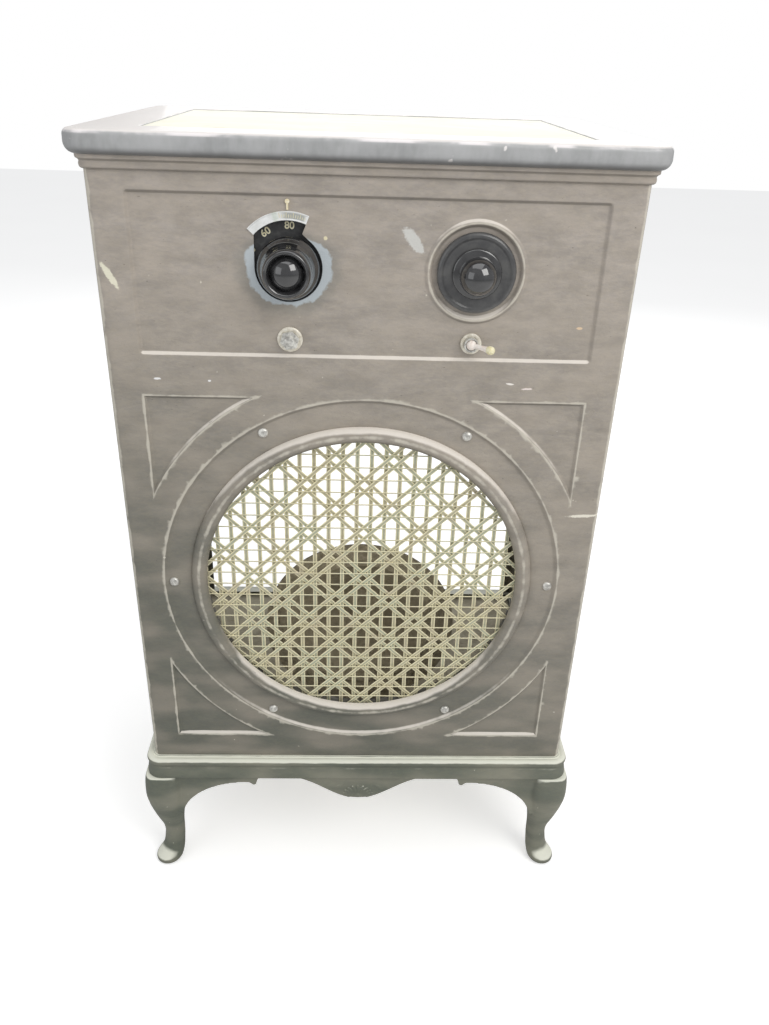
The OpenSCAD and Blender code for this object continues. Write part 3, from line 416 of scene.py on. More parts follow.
def enamelLook(kit):
    place = kit.place()
    haze = kit.grain(place, 140.0, 4.0, 0.6)
    color = kit.mix(kit.ease(haze, 0.4, 0.75), (0.035, 0.036, 0.038), (0.085, 0.085, 0.083))
    return {"Base Color": color, "Roughness": 0.45 + haze * 0.2,
            "bumps": [(haze, 0.1, 0.0002)]}


def flatPaint(first, second, rough, scale=120.0, metallic=0.0, bump=0.25):
    def look(kit):
        place = kit.place()
        cloud = kit.grain(place, scale, 4.0, 0.6)
        color = kit.mix(kit.ease(cloud, 0.32, 0.68), first, second)
        return {"Base Color": color, "Roughness": rough + (cloud - 0.5) * 0.25, "Metallic": metallic,
                "bumps": [(kit.grain(place, scale * 3, 3.0), bump, 0.0003)]}
    return look


# first tone, second tone, roughness, grain, then metal and bump where they differ
plainFinishes = {
    "dialNumeral": ((0.72, 0.66, 0.42), (0.86, 0.82, 0.62), 0.55, 400.0),
    "creamMark": ((0.80, 0.68, 0.40), (0.92, 0.86, 0.68), 0.55, 500.0),
    "leverPink": ((0.86, 0.74, 0.66), (0.95, 0.90, 0.84), 0.38, 300.0),
    "leverTip": ((0.80, 0.72, 0.42), (0.93, 0.89, 0.66), 0.35, 300.0),
    "wornSteel": ((0.42, 0.41, 0.38), (0.80, 0.79, 0.74), 0.36, 320.0, 0.55, 0.5),
    "washerCream": ((0.62, 0.57, 0.46), (0.86, 0.82, 0.72), 0.40, 300.0, 0.2),
    "platedSteel": ((0.36, 0.35, 0.32), (0.56, 0.55, 0.51), 0.42, 40.0, 0.35),
    "chassisPaint": ((0.15, 0.145, 0.13), (0.25, 0.24, 0.215), 0.55, 45.0),
    "casingBlack": ((0.05, 0.048, 0.045), (0.11, 0.105, 0.098), 0.5, 80.0),
    "coilIron": ((0.10, 0.095, 0.085), (0.19, 0.18, 0.16), 0.55, 60.0),
    "beltBronze": ((0.42, 0.30, 0.14), (0.66, 0.52, 0.28), 0.33, 90.0, 0.8, 0.15),
    "bakelite": ((0.055, 0.022, 0.014), (0.12, 0.05, 0.03), 0.22, 70.0, 0.0, 0.08),
    "socketBoard": ((0.20, 0.13, 0.07), (0.34, 0.24, 0.14), 0.55, 90.0),
    "grommetRubber": ((0.02, 0.02, 0.019), (0.05, 0.05, 0.046), 0.7, 200.0),
    "feltGasket": ((0.36, 0.31, 0.22), (0.56, 0.49, 0.36), 0.95, 260.0, 0.0, 0.8),
}
for name, facts in plainFinishes.items():
    finish(name, flatPaint(*facts))


def plateLook(kit):
    brush = kit.grain(kit.place((1.0, 0.15, 6.0)), 220.0, 3.0)
    color = kit.mix(kit.ease(brush, 0.3, 0.7), (0.62, 0.61, 0.57), (0.80, 0.79, 0.75))
    return {"Base Color": color, "Roughness": 0.3 + brush * 0.2, "Metallic": 0.85,
            "bumps": [(brush, 0.1, 0.0002)]}


# worn band and green patch on the scale, by distance and turn from the dial's axis
scaleFacts = {
    "dull": (0.80, 0.81, 0.79), "bright": (0.94, 0.95, 0.94), "worn": (0.40, 0.41, 0.39),
    "moss": (0.55, 0.66, 0.52), "bandFrom": 0.0362, "bandTo": 0.0412,
}


def arcLook(kit):
    f = scaleFacts
    place = kit.place(centre=(tuneX * mm, 0.0, tuneZ * mm))
    x, _, z = kit.parts(place)
    reach = kit.math("SQRT", x * x + z * z)
    turn = kit.math("ARCTAN2", x, z)
    cloud = kit.grain(place, 160.0, 4.0, 0.65)
    color = kit.mix(kit.ease(cloud, 0.3, 0.7), f["dull"], f["bright"])
    worn = kit.ease(turn + (cloud - 0.5) * 0.25, -0.16, -0.02) * (1.0 - kit.ease(turn, 0.30, 0.37))
    inner = kit.ease(reach, f["bandFrom"], 0.0370) * (1.0 - kit.ease(reach, 0.0405, f["bandTo"]))
    color = kit.mix(worn * inner * 0.85, color, f["worn"])
    moss = kit.ease(turn, -0.32, -0.26) * (1.0 - kit.ease(turn, -0.22, -0.16))
    color = kit.mix(moss * 0.35, color, f["moss"])
    return {"Base Color": color, "Roughness": 0.32 + cloud * 0.15, "Metallic": 0.25,
            "bumps": [(cloud, 0.15, 0.0002)]}


def paperLook(kit):
    place = kit.place()
    pulp = kit.grain(place, 240.0, 4.0, 0.65)
    soil = kit.grain(place, 24.0, 4.0, 0.6)
    color = kit.mix(kit.ease(pulp, 0.3, 0.7), (0.44, 0.38, 0.27), (0.60, 0.53, 0.39))
    color = kit.mix(kit.ease(soil, 0.45, 0.72) * 0.5, color, (0.28, 0.24, 0.17))
    return {"Base Color": color, "Roughness": 0.92, "bumps": [(pulp, 0.5, 0.0005)]}


def boardLook(kit):
    place = kit.place()
    lint = kit.grain(place, 70.0, 5.0, 0.7, 0.5)
    fibre = kit.grain(kit.place((1.0, 4.0, 1.0)), 150.0, 3.0)
    color = kit.mix(kit.ease(lint, 0.3, 0.7), (0.40, 0.355, 0.25), (0.62, 0.57, 0.43))
    color = kit.mix(kit.ease(fibre, 0.4, 0.7) * 0.4, color, (0.74, 0.69, 0.55))
    return {"Base Color": color, "Roughness": 0.95, "bumps": [(lint, 0.7, 0.002)]}


glassFacts = {"clear": (0.80, 0.85, 0.84), "getter": (0.55, 0.56, 0.56), "from": 0.690, "to": 0.704}


def glassLook(kit):
    g = glassFacts
    place = kit.place()
    cloud = kit.grain(place, 30.0, 2.0)
    z = kit.parts(place)[2]
    getter = kit.ease(z + (cloud - 0.5) * 0.01, g["from"], g["to"])
    color = kit.mix(getter, g["clear"], g["getter"])
    return {"Base Color": color, "Roughness": 0.06 + getter * 0.12, "Metallic": getter * 0.8,
            "Alpha": 0.28 + getter * 0.6, "IOR": 1.45, "Coat Weight": 0.5}


for name, look in {
        "lidPaint": lidPaintLook, "lidEnamel": lidEnamelLook, "latticeLacquer": lacquerLook,
        "blackGlaze": glazeLook, "blackDisc": discLook, "dialEnamel": enamelLook,
        "plateMetal": plateLook, "scaleSilver": arcLook, "conePaper": paperLook,
        "fibreBoard": boardLook, "valveGlass": glassLook}.items():
    finish(name, look)
print("finishes ready:", len(finishes))


def rawMesh(name, verts, faces):
    mesh = bpy.data.meshes.new(name)
    mesh.from_pydata([tuple(c * mm for c in v) for v in verts], [], faces)
    return mesh


def cleanMesh(mesh, recalc, angle, merge):
    work = bmesh.new()
    work.from_mesh(mesh)
    if merge:
        bmesh.ops.remove_doubles(work, verts=work.verts, dist=merge)
    if recalc:
        bmesh.ops.recalc_face_normals(work, faces=work.faces)
    work.to_mesh(mesh)
    work.free()
    mesh.shade_smooth()
    mesh.set_sharp_from_angle(angle=math.radians(angle))


def settle(name, mesh, recalc=True, angle=35.0, merge=0.00001):
    cleanMesh(mesh, recalc, angle, merge)
    return putInScene(name, mesh)


def meshPiece(name, verts, faces, recalc=True, angle=35.0):
    return settle(name, rawMesh(name, verts, faces), recalc, angle)


# the evaluated object as a plain mesh, its modifiers gone
def bake(piece, angle=35.0):
    graph = bpy.context.evaluated_depsgraph_get()
    mesh = bpy.data.meshes.new_from_object(piece.evaluated_get(graph))
    mesh.name = piece.name
    piece.modifiers.clear()
    old = piece.data
    piece.data = mesh
    if old.users == 0 and isinstance(old, bpy.types.Mesh):
        bpy.data.meshes.remove(old)
    cleanMesh(mesh, False, angle, 0.0)
    return piece


def dress(piece, body, slot, finishName, *nodes):
    piece.data.materials.clear()
    piece.data.materials.append(finishes[finishName])
    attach(piece, body)
    if nodes:
        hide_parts(*nodes)
    return piece


# a merged, softened copy of a CAD node
def softCopy(name, node, bevel=0.35, segments=2, angle=30.0):
    mesh = frame["nodes"][node].data.copy()
    mesh.name = name
    piece = settle(name, mesh, False, angle, 0.00002)
    if bevel:
        soften = piece.modifiers.new("round", "BEVEL")
        soften.width = bevel * mm
        soften.segments = segments
        soften.limit_method = "ANGLE"
        soften.angle_limit = math.radians(38.0)
        soften.harden_normals = False
        bake(piece, angle=angle)
    return piece


def paintNode(node, finishName):
    data = frame["nodes"][node].data
    data.materials.clear()
    data.materials.append(finishes[finishName])


# a profile of (radius, depth) revolved round an axis along Y
def lathe(profile, x, y, z, segments=96, closed=True):
    verts, faces, rows = [], [], []
    for radius, depth in profile:
        if radius < 1e-6:
            rows.append([len(verts)] * segments)
            verts.append((x, y + depth, z))
        else:
            rows.append(list(range(len(verts), len(verts) + segments)))
            for i in range(segments):
                a = 2 * math.pi * i / segments
                verts.append((x + radius * math.cos(a), y + depth, z + radius * math.sin(a)))
    pairs = list(zip(rows, rows[1:]))
    if closed:
        pairs.append((rows[-1], rows[0]))
    for first, second in pairs:
        for i in range(segments):
            j = (i + 1) % segments
            corner = []
            for v in (first[i], second[i], second[j], first[j]):
                if v not in corner:
                    corner.append(v)
            if len(corner) > 2:
                faces.append(corner)
    return verts, faces


def turnedPiece(name, profile, x, y, z, segments, closed=True, angle=42.0):
    return meshPiece(name, *lathe(profile, x, y, z, segments, closed), angle=angle)


def arcPoints(cx, cy, radius, start, end, count):
    return [(cx + radius * math.cos(math.radians(start + (end - start) * i / count)),
             cy + radius * math.sin(math.radians(start + (end - start) * i / count)))
            for i in range(count + 1)]


# a closed section of (outward, height) swept round the cabinet's plan
def planSweep(section, cornerSteps=12):
    verts, faces = [], []
    for grow, z in section:
        radius = max(2.0, cabinet["cornerRadius"] + grow)
        hx = cabinet["half"] + grow
        hy = cabinet["depth"] / 2 + grow
        for sx, sy, start in ((1, -1, -90), (1, 1, 0), (-1, 1, 90), (-1, -1, 180)):
            for i in range(cornerSteps + 1):
                a = math.radians(start + 90 * i / cornerSteps)
                verts.append((sx * (hx - radius) + radius * math.cos(a),
                              midY + sy * (hy - radius) + radius * math.sin(a), z))
    count = 4 * (cornerSteps + 1)
    rows = len(section)
    for k in range(rows):
        for i in range(count):
            j = (i + 1) % count
            faces.append((k * count + i, k * count + j, ((k + 1) % rows) * count + j,
                          ((k + 1) % rows) * count + i))
    return verts, faces


# pressed front panel: one height over its unrolled width
pressFacts = {
    "fieldHalf": 183.0, "fieldLow": 578.0, "fieldHigh": 704.0, "fieldRadius": 4.0,
    "lowerHalf": 182.0, "spandrel": 203.5, "ring": 181.5, "slope": 3.4, "ringSlope": 4.4,
    "beadMid": 149.5, "bead": 7.0, "beadDrop": 3.0, "wellRadius": 37.2, "wellHalf": 3.2, "wellRise": 2.0,
    "windowCircle": 26.2, "windowRadius": 35.5, "windowFrom": -47.0, "windowTo": 23.0,
    "bolts": 6, "boltCircle": 173.0, "boltHole": 2.4,
    "volumeHole": 4.65, "toggleHole": 5.85, "studHole": 4.05,
    "grid": 7.0, "jitter": 1.2, "dent": 0.16, "dentWidth": 34.0, "lip": 0.35,
}


def smooth(t):
    t = min(1.0, max(0.0, t))
    return t * t * (3 - 2 * t)


def pressDepth(x, z):
    p = pressFacts
    depth = 0.0
    midField = (p["fieldLow"] + p["fieldHigh"]) / 2
    qx = abs(x) - p["fieldHalf"] + p["fieldRadius"]
    qz = abs(z - midField) - (p["fieldHigh"] - p["fieldLow"]) / 2 + p["fieldRadius"]
    outside = math.hypot(max(qx, 0), max(qz, 0)) + min(max(qx, qz), 0) - p["fieldRadius"]
    depth += cabinet["press"] * smooth(-outside / p["slope"])
    r = math.hypot(x, z - ringZ)
    inside = min(p["fieldHalf"] - abs(x), p["lowerHalf"] - abs(z - ringZ), r - p["spandrel"])
    depth += cabinet["press"] * smooth(inside / p["slope"])
    foot = p["beadMid"] + p["bead"]
    if r < foot:
        lift = math.sqrt(max(0.0, p["bead"] ** 2 - (r - p["beadMid"]) ** 2))
        depth = p["beadDrop"] - lift
    elif r < p["ring"]:
        depth = cabinet["press"] * smooth((p["ring"] - r) / p["ringSlope"])
        depth += (p["beadDrop"] - cabinet["press"]) * smooth((foot + 1.5 - r) / 1.5)
    w = math.hypot(x - volumeX, z - volumeZ)
    if w < p["wellRadius"] + p["wellHalf"]:
        bump = max(0.0, 1 - ((w - p["wellRadius"]) / p["wellHalf"]) ** 2)
        depth -= p["wellRise"] * bump ** 1.3
        depth += 1.1 * smooth((p["wellRadius"] - w) / 4.0)
    return depth


def bentSheet(u, z, depth):
    flat = cabinet["half"] - cabinet["cornerRadius"]
    over = abs(u) - flat
    side = math.copysign(1.0, u)
    quarter = cabinet["cornerRadius"] * math.pi / 2
    if over <= 0:
        return (u, frontY + depth, z)
    if over < quarter:
        a = over / cabinet["cornerRadius"]
        return (side * (flat + cabinet["cornerRadius"] * math.sin(a)),
                frontY + cabinet["cornerRadius"] * (1 - math.cos(a)), z)
    return (side * cabinet["half"], frontY + cabinet["cornerRadius"] + over - quarter, z)


def windowOutline(grow):
    p = pressFacts
    outer = p["windowRadius"] + grow
    inner = p["windowCircle"] + grow
    points = []
    for i in range(25):
        a = math.radians(p["windowFrom"] + (p["windowTo"] - p["windowFrom"]) * i / 24)
        points.append((outer * math.sin(a), outer * math.cos(a)))
    a = math.radians(p["windowTo"])
    points.append(((inner + 1.5) * math.sin(a) + grow, (inner + 1.5) * math.cos(a)))
    for i in range(1, 49):
        a = math.radians(p["windowTo"] + 9 + (270 - p["windowTo"] - 9) * i / 48)
        points.append((inner * math.sin(a), inner * math.cos(a)))
    return [(tuneX + x, tuneZ + z) for x, z in points]


def inPolygon(x, z, polygon):
    odd = False
    last = polygon[-1]
    for point in polygon:
        if (point[1] > z) != (last[1] > z):
            if x < (last[0] - point[0]) * (z - point[1]) / (last[1] - point[1]) + point[0]:
                odd = not odd
        last = point
    return odd


# across, up, radius and points of each round hole
def panelHoles():
    p = pressFacts
    holes = [(volumeX, volumeZ, p["volumeHole"], 24), (volumeX, lowerZ, p["toggleHole"], 24),
             (tuneX, lowerZ, p["studHole"], 24)]
    reach = p["boltCircle"]
    for i in range(p["bolts"]):
        a = 2 * math.pi * i / p["bolts"]
        holes.append((reach * math.cos(a), ringZ + reach * math.sin(a), p["boltHole"], 12))
    return holes


def makeFrontPanel():
    p = pressFacts
    points, edges = [], []

    def line(loop, closed=True, step=8.0):
        start = len(points)
        fine = []
        pairs = list(zip(loop, loop[1:] + loop[:1])) if closed else list(zip(loop, loop[1:]))
        for (ax, az), (bx, bz) in pairs:
            parts = max(1, int(math.hypot(bx - ax, bz - az) / step))
            fine += [(ax + (bx - ax) * i / parts, az + (bz - az) * i / parts) for i in range(parts)]
        if not closed:
            fine.append(loop[-1])
        points.extend(Vector(q) for q in fine)
        count = len(fine)
        for i in range(count if closed else count - 1):
            edges.append((start + i, start + (i + 1) % count))

    def circle(x, z, radius, count):
        turns = [2 * math.pi * i / count for i in range(count)]
        line([(x + radius * math.cos(a), z + radius * math.sin(a)) for a in turns], True, 1e9)

    quarter = cabinet["cornerRadius"] * math.pi / 2
    flat = cabinet["half"] - cabinet["cornerRadius"]
    wide = flat + quarter + cabinet["returnLength"] - cabinet["cornerRadius"]
    low, high = cabinet["foot"], cabinet["top"]
    line([(-wide, low), (wide, low), (wide, high), (-wide, high)])
    for side in (-1, 1):
        for i in range(9):
            u = side * (flat + quarter * i / 8)
            line([(u, low), (u, high)], False)
    slopes = [-0.5, 0.0] + [p["slope"] * t for t in (0.15, 0.3, 0.45, 0.6, 0.75, 0.88, 1.0)]
    slopes.append(p["slope"] + 0.6)
    for t in slopes:
        r = max(0.05, p["fieldRadius"] - t)
        hx = p["fieldHalf"] - t - r
        loop = []
        for cx, cz, start in ((hx, p["fieldHigh"] - t - r, 0), (-hx, p["fieldHigh"] - t - r, 90),
                              (-hx, p["fieldLow"] + t + r, 180), (hx, p["fieldLow"] + t + r, 270)):
            loop += arcPoints(cx, cz, r, start, start + 90, 5 if r > 0.1 else 1)
        line(loop)
        rim = p["spandrel"] + t
        ex, ez = p["fieldHalf"] - t, p["lowerHalf"] - t
        first = math.degrees(math.atan2(math.sqrt(rim ** 2 - ex ** 2), ex))
        last = math.degrees(math.atan2(ez, math.sqrt(rim ** 2 - ez ** 2)))
        for sx in (-1, 1):
            for sz in (-1, 1):
                loop = [(sx * q[0], ringZ + sz * q[1]) for q in arcPoints(0, 0, rim, first, last, 24)]
                line(loop + [(sx * ex, ringZ + sz * ez)])
    for t in (-0.6, 0.0, 0.6, 1.3, 2.1, 2.9, 3.7, 4.4, 5.0, 5.8):
        circle(0, ringZ, p["ring"] - t, 192)
    circle(0, ringZ, p["beadMid"] + p["bead"] + 1.6, 192)
    for angle in range(0, 181, 12):
        circle(0, ringZ, p["beadMid"] + p["bead"] * math.cos(math.radians(angle)), 192)
    for t in (-4.4, -3.2, -2.6, -1.9, -1.2, -0.6, 0.0, 0.6, 1.2, 1.9, 2.6, 3.2, 3.9):
        circle(volumeX, volumeZ, p["wellRadius"] + t, 96)
    holes = panelHoles()
    for hole in holes:
        circle(*hole)
    window = windowOutline(0.0)
    line(window, True, 1.6)
    line(windowOutline(0.7), True, 1.6)
    random.seed(11)
    step = p["grid"]
    for i in range(int(2 * flat / step)):
        for j in range(int((high - low) / step)):
            x = -flat + (i + 0.5) * step + random.uniform(-p["jitter"], p["jitter"])
            z = low + (j + 0.5) * step + random.uniform(-p["jitter"], p["jitter"])
            points.append(Vector((x, z)))
    out, _, tris, _, _, _ = geometry.delaunay_2d_cdt(points, edges, [], 0, 1e-5)
    cuts = holes + [(0.0, ringZ, p["beadMid"] - p["bead"], 0)]
    faces = []
    for tri in tris:
        cx = sum(out[i].x for i in tri) / 3
        cz = sum(out[i].y for i in tri) / 3
        if any(math.hypot(cx - hx, cz - hz) < radius for hx, hz, radius, _ in cuts):
            continue
        if inPolygon(cx, cz, window):
            continue
        faces.append(tuple(reversed(tri)))
    verts, wear = [], []
    lipInner, lipOuter = windowOutline(0.3), windowOutline(0.5)
    for q in out:
        depth = pressDepth(q.x, q.y)
        if abs(q.x) < flat:
            depth += p["dent"] * noise.noise(Vector((q.x / p["dentWidth"], q.y / p["dentWidth"], 4.0)))
        if inPolygon(q.x, q.y, lipOuter) and not inPolygon(q.x, q.y, lipInner):
            depth += p["lip"]
        verts.append(bentSheet(q.x, q.y, depth))
        inside = min(p["fieldHalf"] - abs(q.x), p["lowerHalf"] - abs(q.y - ringZ),
                     math.hypot(q.x, q.y - ringZ) - p["spandrel"])
        rub = math.exp(-(inside / 1.3) ** 2)
        r = math.hypot(q.x, q.y - ringZ)
        rub = max(rub, math.exp(-((r - p["ring"]) / 1.4) ** 2))
        rub = max(rub, 0.8 * math.exp(-((r - p["beadMid"]) / 3) ** 2))
        w = math.hypot(q.x - volumeX, q.y - volumeZ)
        rub = max(rub, math.exp(-((w - p["wellRadius"]) / 1.4) ** 2))
        rub = max(rub, math.exp(-((abs(q.x) - flat - quarter / 2) / 3.5) ** 2))
        wear.append(rub)
    mesh = rawMesh("frontPanel", verts, faces)
    mesh.attributes.new("wear", "FLOAT", "POINT").data.foreach_set("value", wear)
    piece = putInScene("frontPanel", mesh)
    work = bmesh.new()
    work.from_mesh(mesh)
    loose = [v for v in work.verts if not v.link_faces]
    bmesh.ops.delete(work, geom=loose, context="VERTS")
    work.faces.ensure_lookup_table()
    if sum(f.normal.y for f in work.faces) > 0:
        bmesh.ops.reverse_faces(work, faces=work.faces)
    work.to_mesh(mesh)
    work.free()
    wall = piece.modifiers.new("wall", "SOLIDIFY")
    wall.thickness = cabinet["sheet"] * mm * 0.9
    wall.offset = -1.0
    bake(piece, angle=50.0)
    return dress(piece, "cabinet", "cabinet_paint", "cabinetFront", "front_panel")


makeFrontPanel()
print("front panel ready")

# lattice of flat strands, one tree for its four layers
weave = {"cellWide": 25.1, "cellHigh": 24.0, "radius": 158.0, "rise": 3.5,
         "wire": 1.15, "bar": 3.8, "strand": 3.6, "thick": 1.15, "hollow": 0.55}


def geometryTree(name, inputs):
    tree = bpy.data.node_groups.new(name, "GeometryNodeTree")
    tree.interface.new_socket("Geometry", in_out="INPUT", socket_type="NodeSocketGeometry")
    keys = {}
    for label, kind in inputs.items():
        port = tree.interface.new_socket(label, in_out="INPUT", socket_type="NodeSocket" + kind)
        keys[label] = port.identifier
    tree.interface.new_socket("Geometry", in_out="OUTPUT", socket_type="NodeSocketGeometry")
    kit = Kit(tree)
    source = tree.nodes.new("NodeGroupInput")
    ports = {s.name: Wire(kit, s) for s in source.outputs if s.name}
    return tree, kit, ports, keys


def growPiece(name, tree, keys, values, base=None, angle=35.0):
    piece = putInScene(name, base or bpy.data.meshes.new(name + "Seed"))
    grow = piece.modifiers.new("grow", "NODES")
    grow.node_group = tree
    for label, value in values.items():
        grow[keys[label]] = value
    return bake(piece, angle=angle)


def latticeTree():
    tree, kit, port, keys = geometryTree("strandLayer", {
        "Radius": "Float", "Period": "Float", "Pair Offset": "Float", "Shift": "Float",
        "Strand Width": "Float", "Strand Thickness": "Float", "Hollow": "Float", "Segments": "Int",
        "Turn": "Float", "Centre": "Vector", "Wobble": "Float", "Finish": "Material"})
    radius, period = port["Radius"], port["Period"]
    half = kit.math("CEIL", radius / period) + 1.0
    line = kit.add("GeometryNodeMeshLine", {"mode": "OFFSET"}, {"Count": half * 4.0})
    index = kit.add("GeometryNodeInputIndex")
    pair = kit.math("FLOOR", index / 2.0) - half
    side = kit.math("MODULO", index, 2.0) * 2.0 - 1.0
    offset = pair * period + side * port["Pair Offset"] + port["Shift"]
    put = kit.add("ShaderNodeCombineXYZ", {}, {"Z": offset})
    line = kit.add("GeometryNodeSetPosition", {}, {"Geometry": line, "Position": put})
    outside = kit.math("GREATER_THAN", abs(offset), radius - port["Strand Width"])
    # reads the place before the points are thinned out
    line = kit.add("GeometryNodeStoreNamedAttribute", {"data_type": "FLOAT", "domain": "POINT"},
                   {"Geometry": line, "Name": "middle", "Value": offset})
    line = kit.add("GeometryNodeDeleteGeometry", {"domain": "POINT"},
                   {"Geometry": line, "Selection": outside})
    middle = kit.add("GeometryNodeInputNamedAttribute", {"data_type": "FLOAT"},
                     {"Name": "middle"}, "Attribute")
    chord = kit.math("SQRT", kit.math("MAXIMUM", radius * radius - middle * middle, 0.0))
    path = kit.add("GeometryNodeCurvePrimitiveLine", {}, {"Start": (-1, 0, 0), "End": (1, 0, 0)})
    path = kit.add("GeometryNodeResampleCurve", {}, {"Curve": path, "Count": port["Segments"]})
    profile = kit.add("GeometryNodeCurvePrimitiveCircle", {}, {"Resolution": 12, "Radius": 1.0})
    spot = kit.add("GeometryNodeInputPosition")
    sx, sy, _ = kit.parts(spot)
    waist = (1.0 - port["Hollow"]) + port["Hollow"] * sy * sy
    shaped = kit.add("ShaderNodeCombineXYZ", {}, {
        "X": sx * port["Strand Thickness"] * 0.5 * waist, "Y": sy * port["Strand Width"] * 0.5})
    profile = kit.add("GeometryNodeSetPosition", {}, {"Geometry": profile, "Position": shaped})
    strand = kit.add("GeometryNodeCurveToMesh", {},
                     {"Curve": path, "Profile Curve": profile, "Fill Caps": True})
    stretch = kit.add("ShaderNodeCombineXYZ", {}, {"X": chord, "Y": 1.0, "Z": 1.0})
    made = kit.add("GeometryNodeInstanceOnPoints", {},
                   {"Points": line, "Instance": strand, "Scale": stretch})
    made = kit.add("GeometryNodeRealizeInstances", {}, {"Geometry": made})
    tall = kit.parts(kit.add("GeometryNodeInputPosition"))[2]
    edge = abs(tall - middle) / (port["Strand Width"] * 0.5)
    made = kit.add("GeometryNodeStoreNamedAttribute", {"data_type": "FLOAT", "domain": "POINT"},
                   {"Geometry": made, "Name": "edge", "Value": edge})
    ripple = kit.add("ShaderNodeTexNoise", {}, {"Vector": spot, "Scale": 16.0, "Detail": 1.0}) - 0.5
    drift = kit.add("ShaderNodeCombineXYZ", {}, {"Z": ripple * port["Wobble"]})
    made = kit.add("GeometryNodeSetPosition", {}, {"Geometry": made, "Offset": drift})
    turn = kit.add("ShaderNodeCombineXYZ", {}, {"Y": port["Turn"]})
    made = kit.add("GeometryNodeTransform", {},
                   {"Geometry": made, "Rotation": turn, "Translation": port["Centre"]})
    made = kit.add("GeometryNodeSetMaterial", {}, {"Geometry": made, "Material": port["Finish"]})
    kit.add("NodeGroupOutput", {}, {0: made})
    return tree, keys


def makeLattice():
    w = weave
    tree, keys = latticeTree()
    high, wide = w["cellHigh"], w["cellWide"]
    lean = math.atan2(high, wide)
    tight = math.cos(lean)
    flat = (w["thick"], w["hollow"], 12)
    slant = (2 * high * tight, high * tight / 4, w["rise"] * tight, w["strand"], *flat)
    # piece, node, period, pair, shift, width, thickness, hollow, segments, turn, wobble
    layers = (
        ("levelWires", "grille_wires", high, high / 4, w["rise"], w["wire"], w["wire"], 0.0, 24, 0.0, 0.9),
        ("risingStrands", "grille_strands_rising", *slant, -lean, 0.25),
        ("fallingStrands", "grille_strands_falling", *slant, lean, 0.25),
        ("uprightBars", "grille_bars", wide, wide / 4, 0.0, w["bar"], *flat, math.pi / 2, 0.2))
    for name, node, period, pair, shift, width, thick, hollow, segments, turn, wobble in layers:
        near, far = span(node)
        centre = (0.0, (near.y + far.y) / 2 * mm, ringZ * mm)
        piece = growPiece(name, tree, keys, {
            "Radius": w["radius"] * mm, "Period": period * mm, "Pair Offset": pair * mm,
            "Shift": shift * mm, "Strand Width": width * mm, "Strand Thickness": thick * mm,
            "Hollow": hollow, "Segments": segments, "Turn": turn, "Centre": centre,
            "Wobble": wobble * mm, "Finish": finishes["latticeLacquer"]})
        dress(piece, "cabinet", "lattice_lacquer", "latticeLacquer", node)


makeLattice()
print("lattice ready")


# the same shape set round a circle or along a line
def repeatTree():
    tree, kit, port, keys = geometryTree("fastenerSet", {
        "Count": "Int", "Circle": "Float", "Step": "Vector", "First": "Vector", "Seed": "Int",
        "Free Turn": "Float", "Finish": "Material"})
    index = kit.add("GeometryNodeInputIndex")
    line = kit.add("GeometryNodeMeshLine", {"mode": "OFFSET"}, {"Count": port["Count"]})
    angle = index / port["Count"] * (2 * math.pi)
    ring = kit.add("ShaderNodeCombineXYZ", {},
                   {"X": kit.math("COSINE", angle), "Z": kit.math("SINE", angle)})
    spot = kit.add("ShaderNodeVectorMath", {"operation": "SCALE"}, {0: ring, "Scale": port["Circle"]})
    steps = kit.add("ShaderNodeCombineXYZ", {}, {"X": index, "Y": index, "Z": index})
    along = kit.vector("MULTIPLY", port["Step"], steps)
    spot = kit.vector("ADD", kit.vector("ADD", spot, along), port["First"])
    line = kit.add("GeometryNodeSetPosition", {}, {"Geometry": line, "Position": spot})
    chance = kit.add("FunctionNodeRandomValue", {"data_type": "FLOAT"},
                     {"Min": 0.0, "Max": port["Free Turn"], "Seed": port["Seed"]}, "Value")
    turn = kit.add("ShaderNodeCombineXYZ", {}, {"Y": chance})
    made = kit.add("GeometryNodeInstanceOnPoints", {}, {
        "Points": line, "Instance": port["Geometry"], "Rotation": turn})
    made = kit.add("GeometryNodeRealizeInstances", {}, {"Geometry": made})
    made = kit.add("GeometryNodeSetMaterial", {}, {"Geometry": made, "Material": port["Finish"]})
    kit.add("NodeGroupOutput", {}, {0: made})
    return tree, keys


repeater = repeatTree()


def repeatShape(name, shape, finishName, body, slot, nodes, count, circle=0.0, step=(0, 0, 0),
                first=(0, 0, 0), freeTurn=0.0, seed=3, angle=35.0):
    single = rawMesh(name + "Seed", *shape)
    work = bmesh.new()
    work.from_mesh(single)
    bmesh.ops.recalc_face_normals(work, faces=work.faces)
    work.to_mesh(single)
    work.free()
    piece = growPiece(name, repeater[0], repeater[1], {
        "Count": count, "Circle": circle * mm, "Step": tuple(c * mm for c in step),
        "First": tuple(c * mm for c in first), "Seed": seed, "Free Turn": freeTurn,
        "Finish": finishes[finishName]}, single, angle)
    return dress(piece, body, slot, finishName, *nodes)


# a many-sided bar along Y, its ends chamfered
def prism(sides, radius, y0, y1, chamfer=0.5):
    turns = [2 * math.pi * i / sides for i in range(sides)]
    ring = [(radius * math.cos(a), radius * math.sin(a)) for a in turns]
    verts, faces = [], []
    end, edge = 1 - 1.4 * chamfer / radius, 0.6 * chamfer
    for y, k in ((y0, end), (y0 + edge, 1.0), (y1 - edge, 1.0), (y1, end)):
        verts += [(x * k, y, z * k) for x, z in ring]
    for k in range(3):
        for i in range(sides):
            j = (i + 1) % sides
            faces.append((k * sides + i, k * sides + j, (k + 1) * sides + j, (k + 1) * sides + i))
    faces.append(tuple(range(sides)))
    faces.append(tuple(range(3 * sides, 4 * sides)))
    return verts, faces


fastenerFacts = {"boltHead": 4.5, "boltRise": 2.6, "boltShank": 2.2, "nut": 4.4, "nutThick": 3.2}


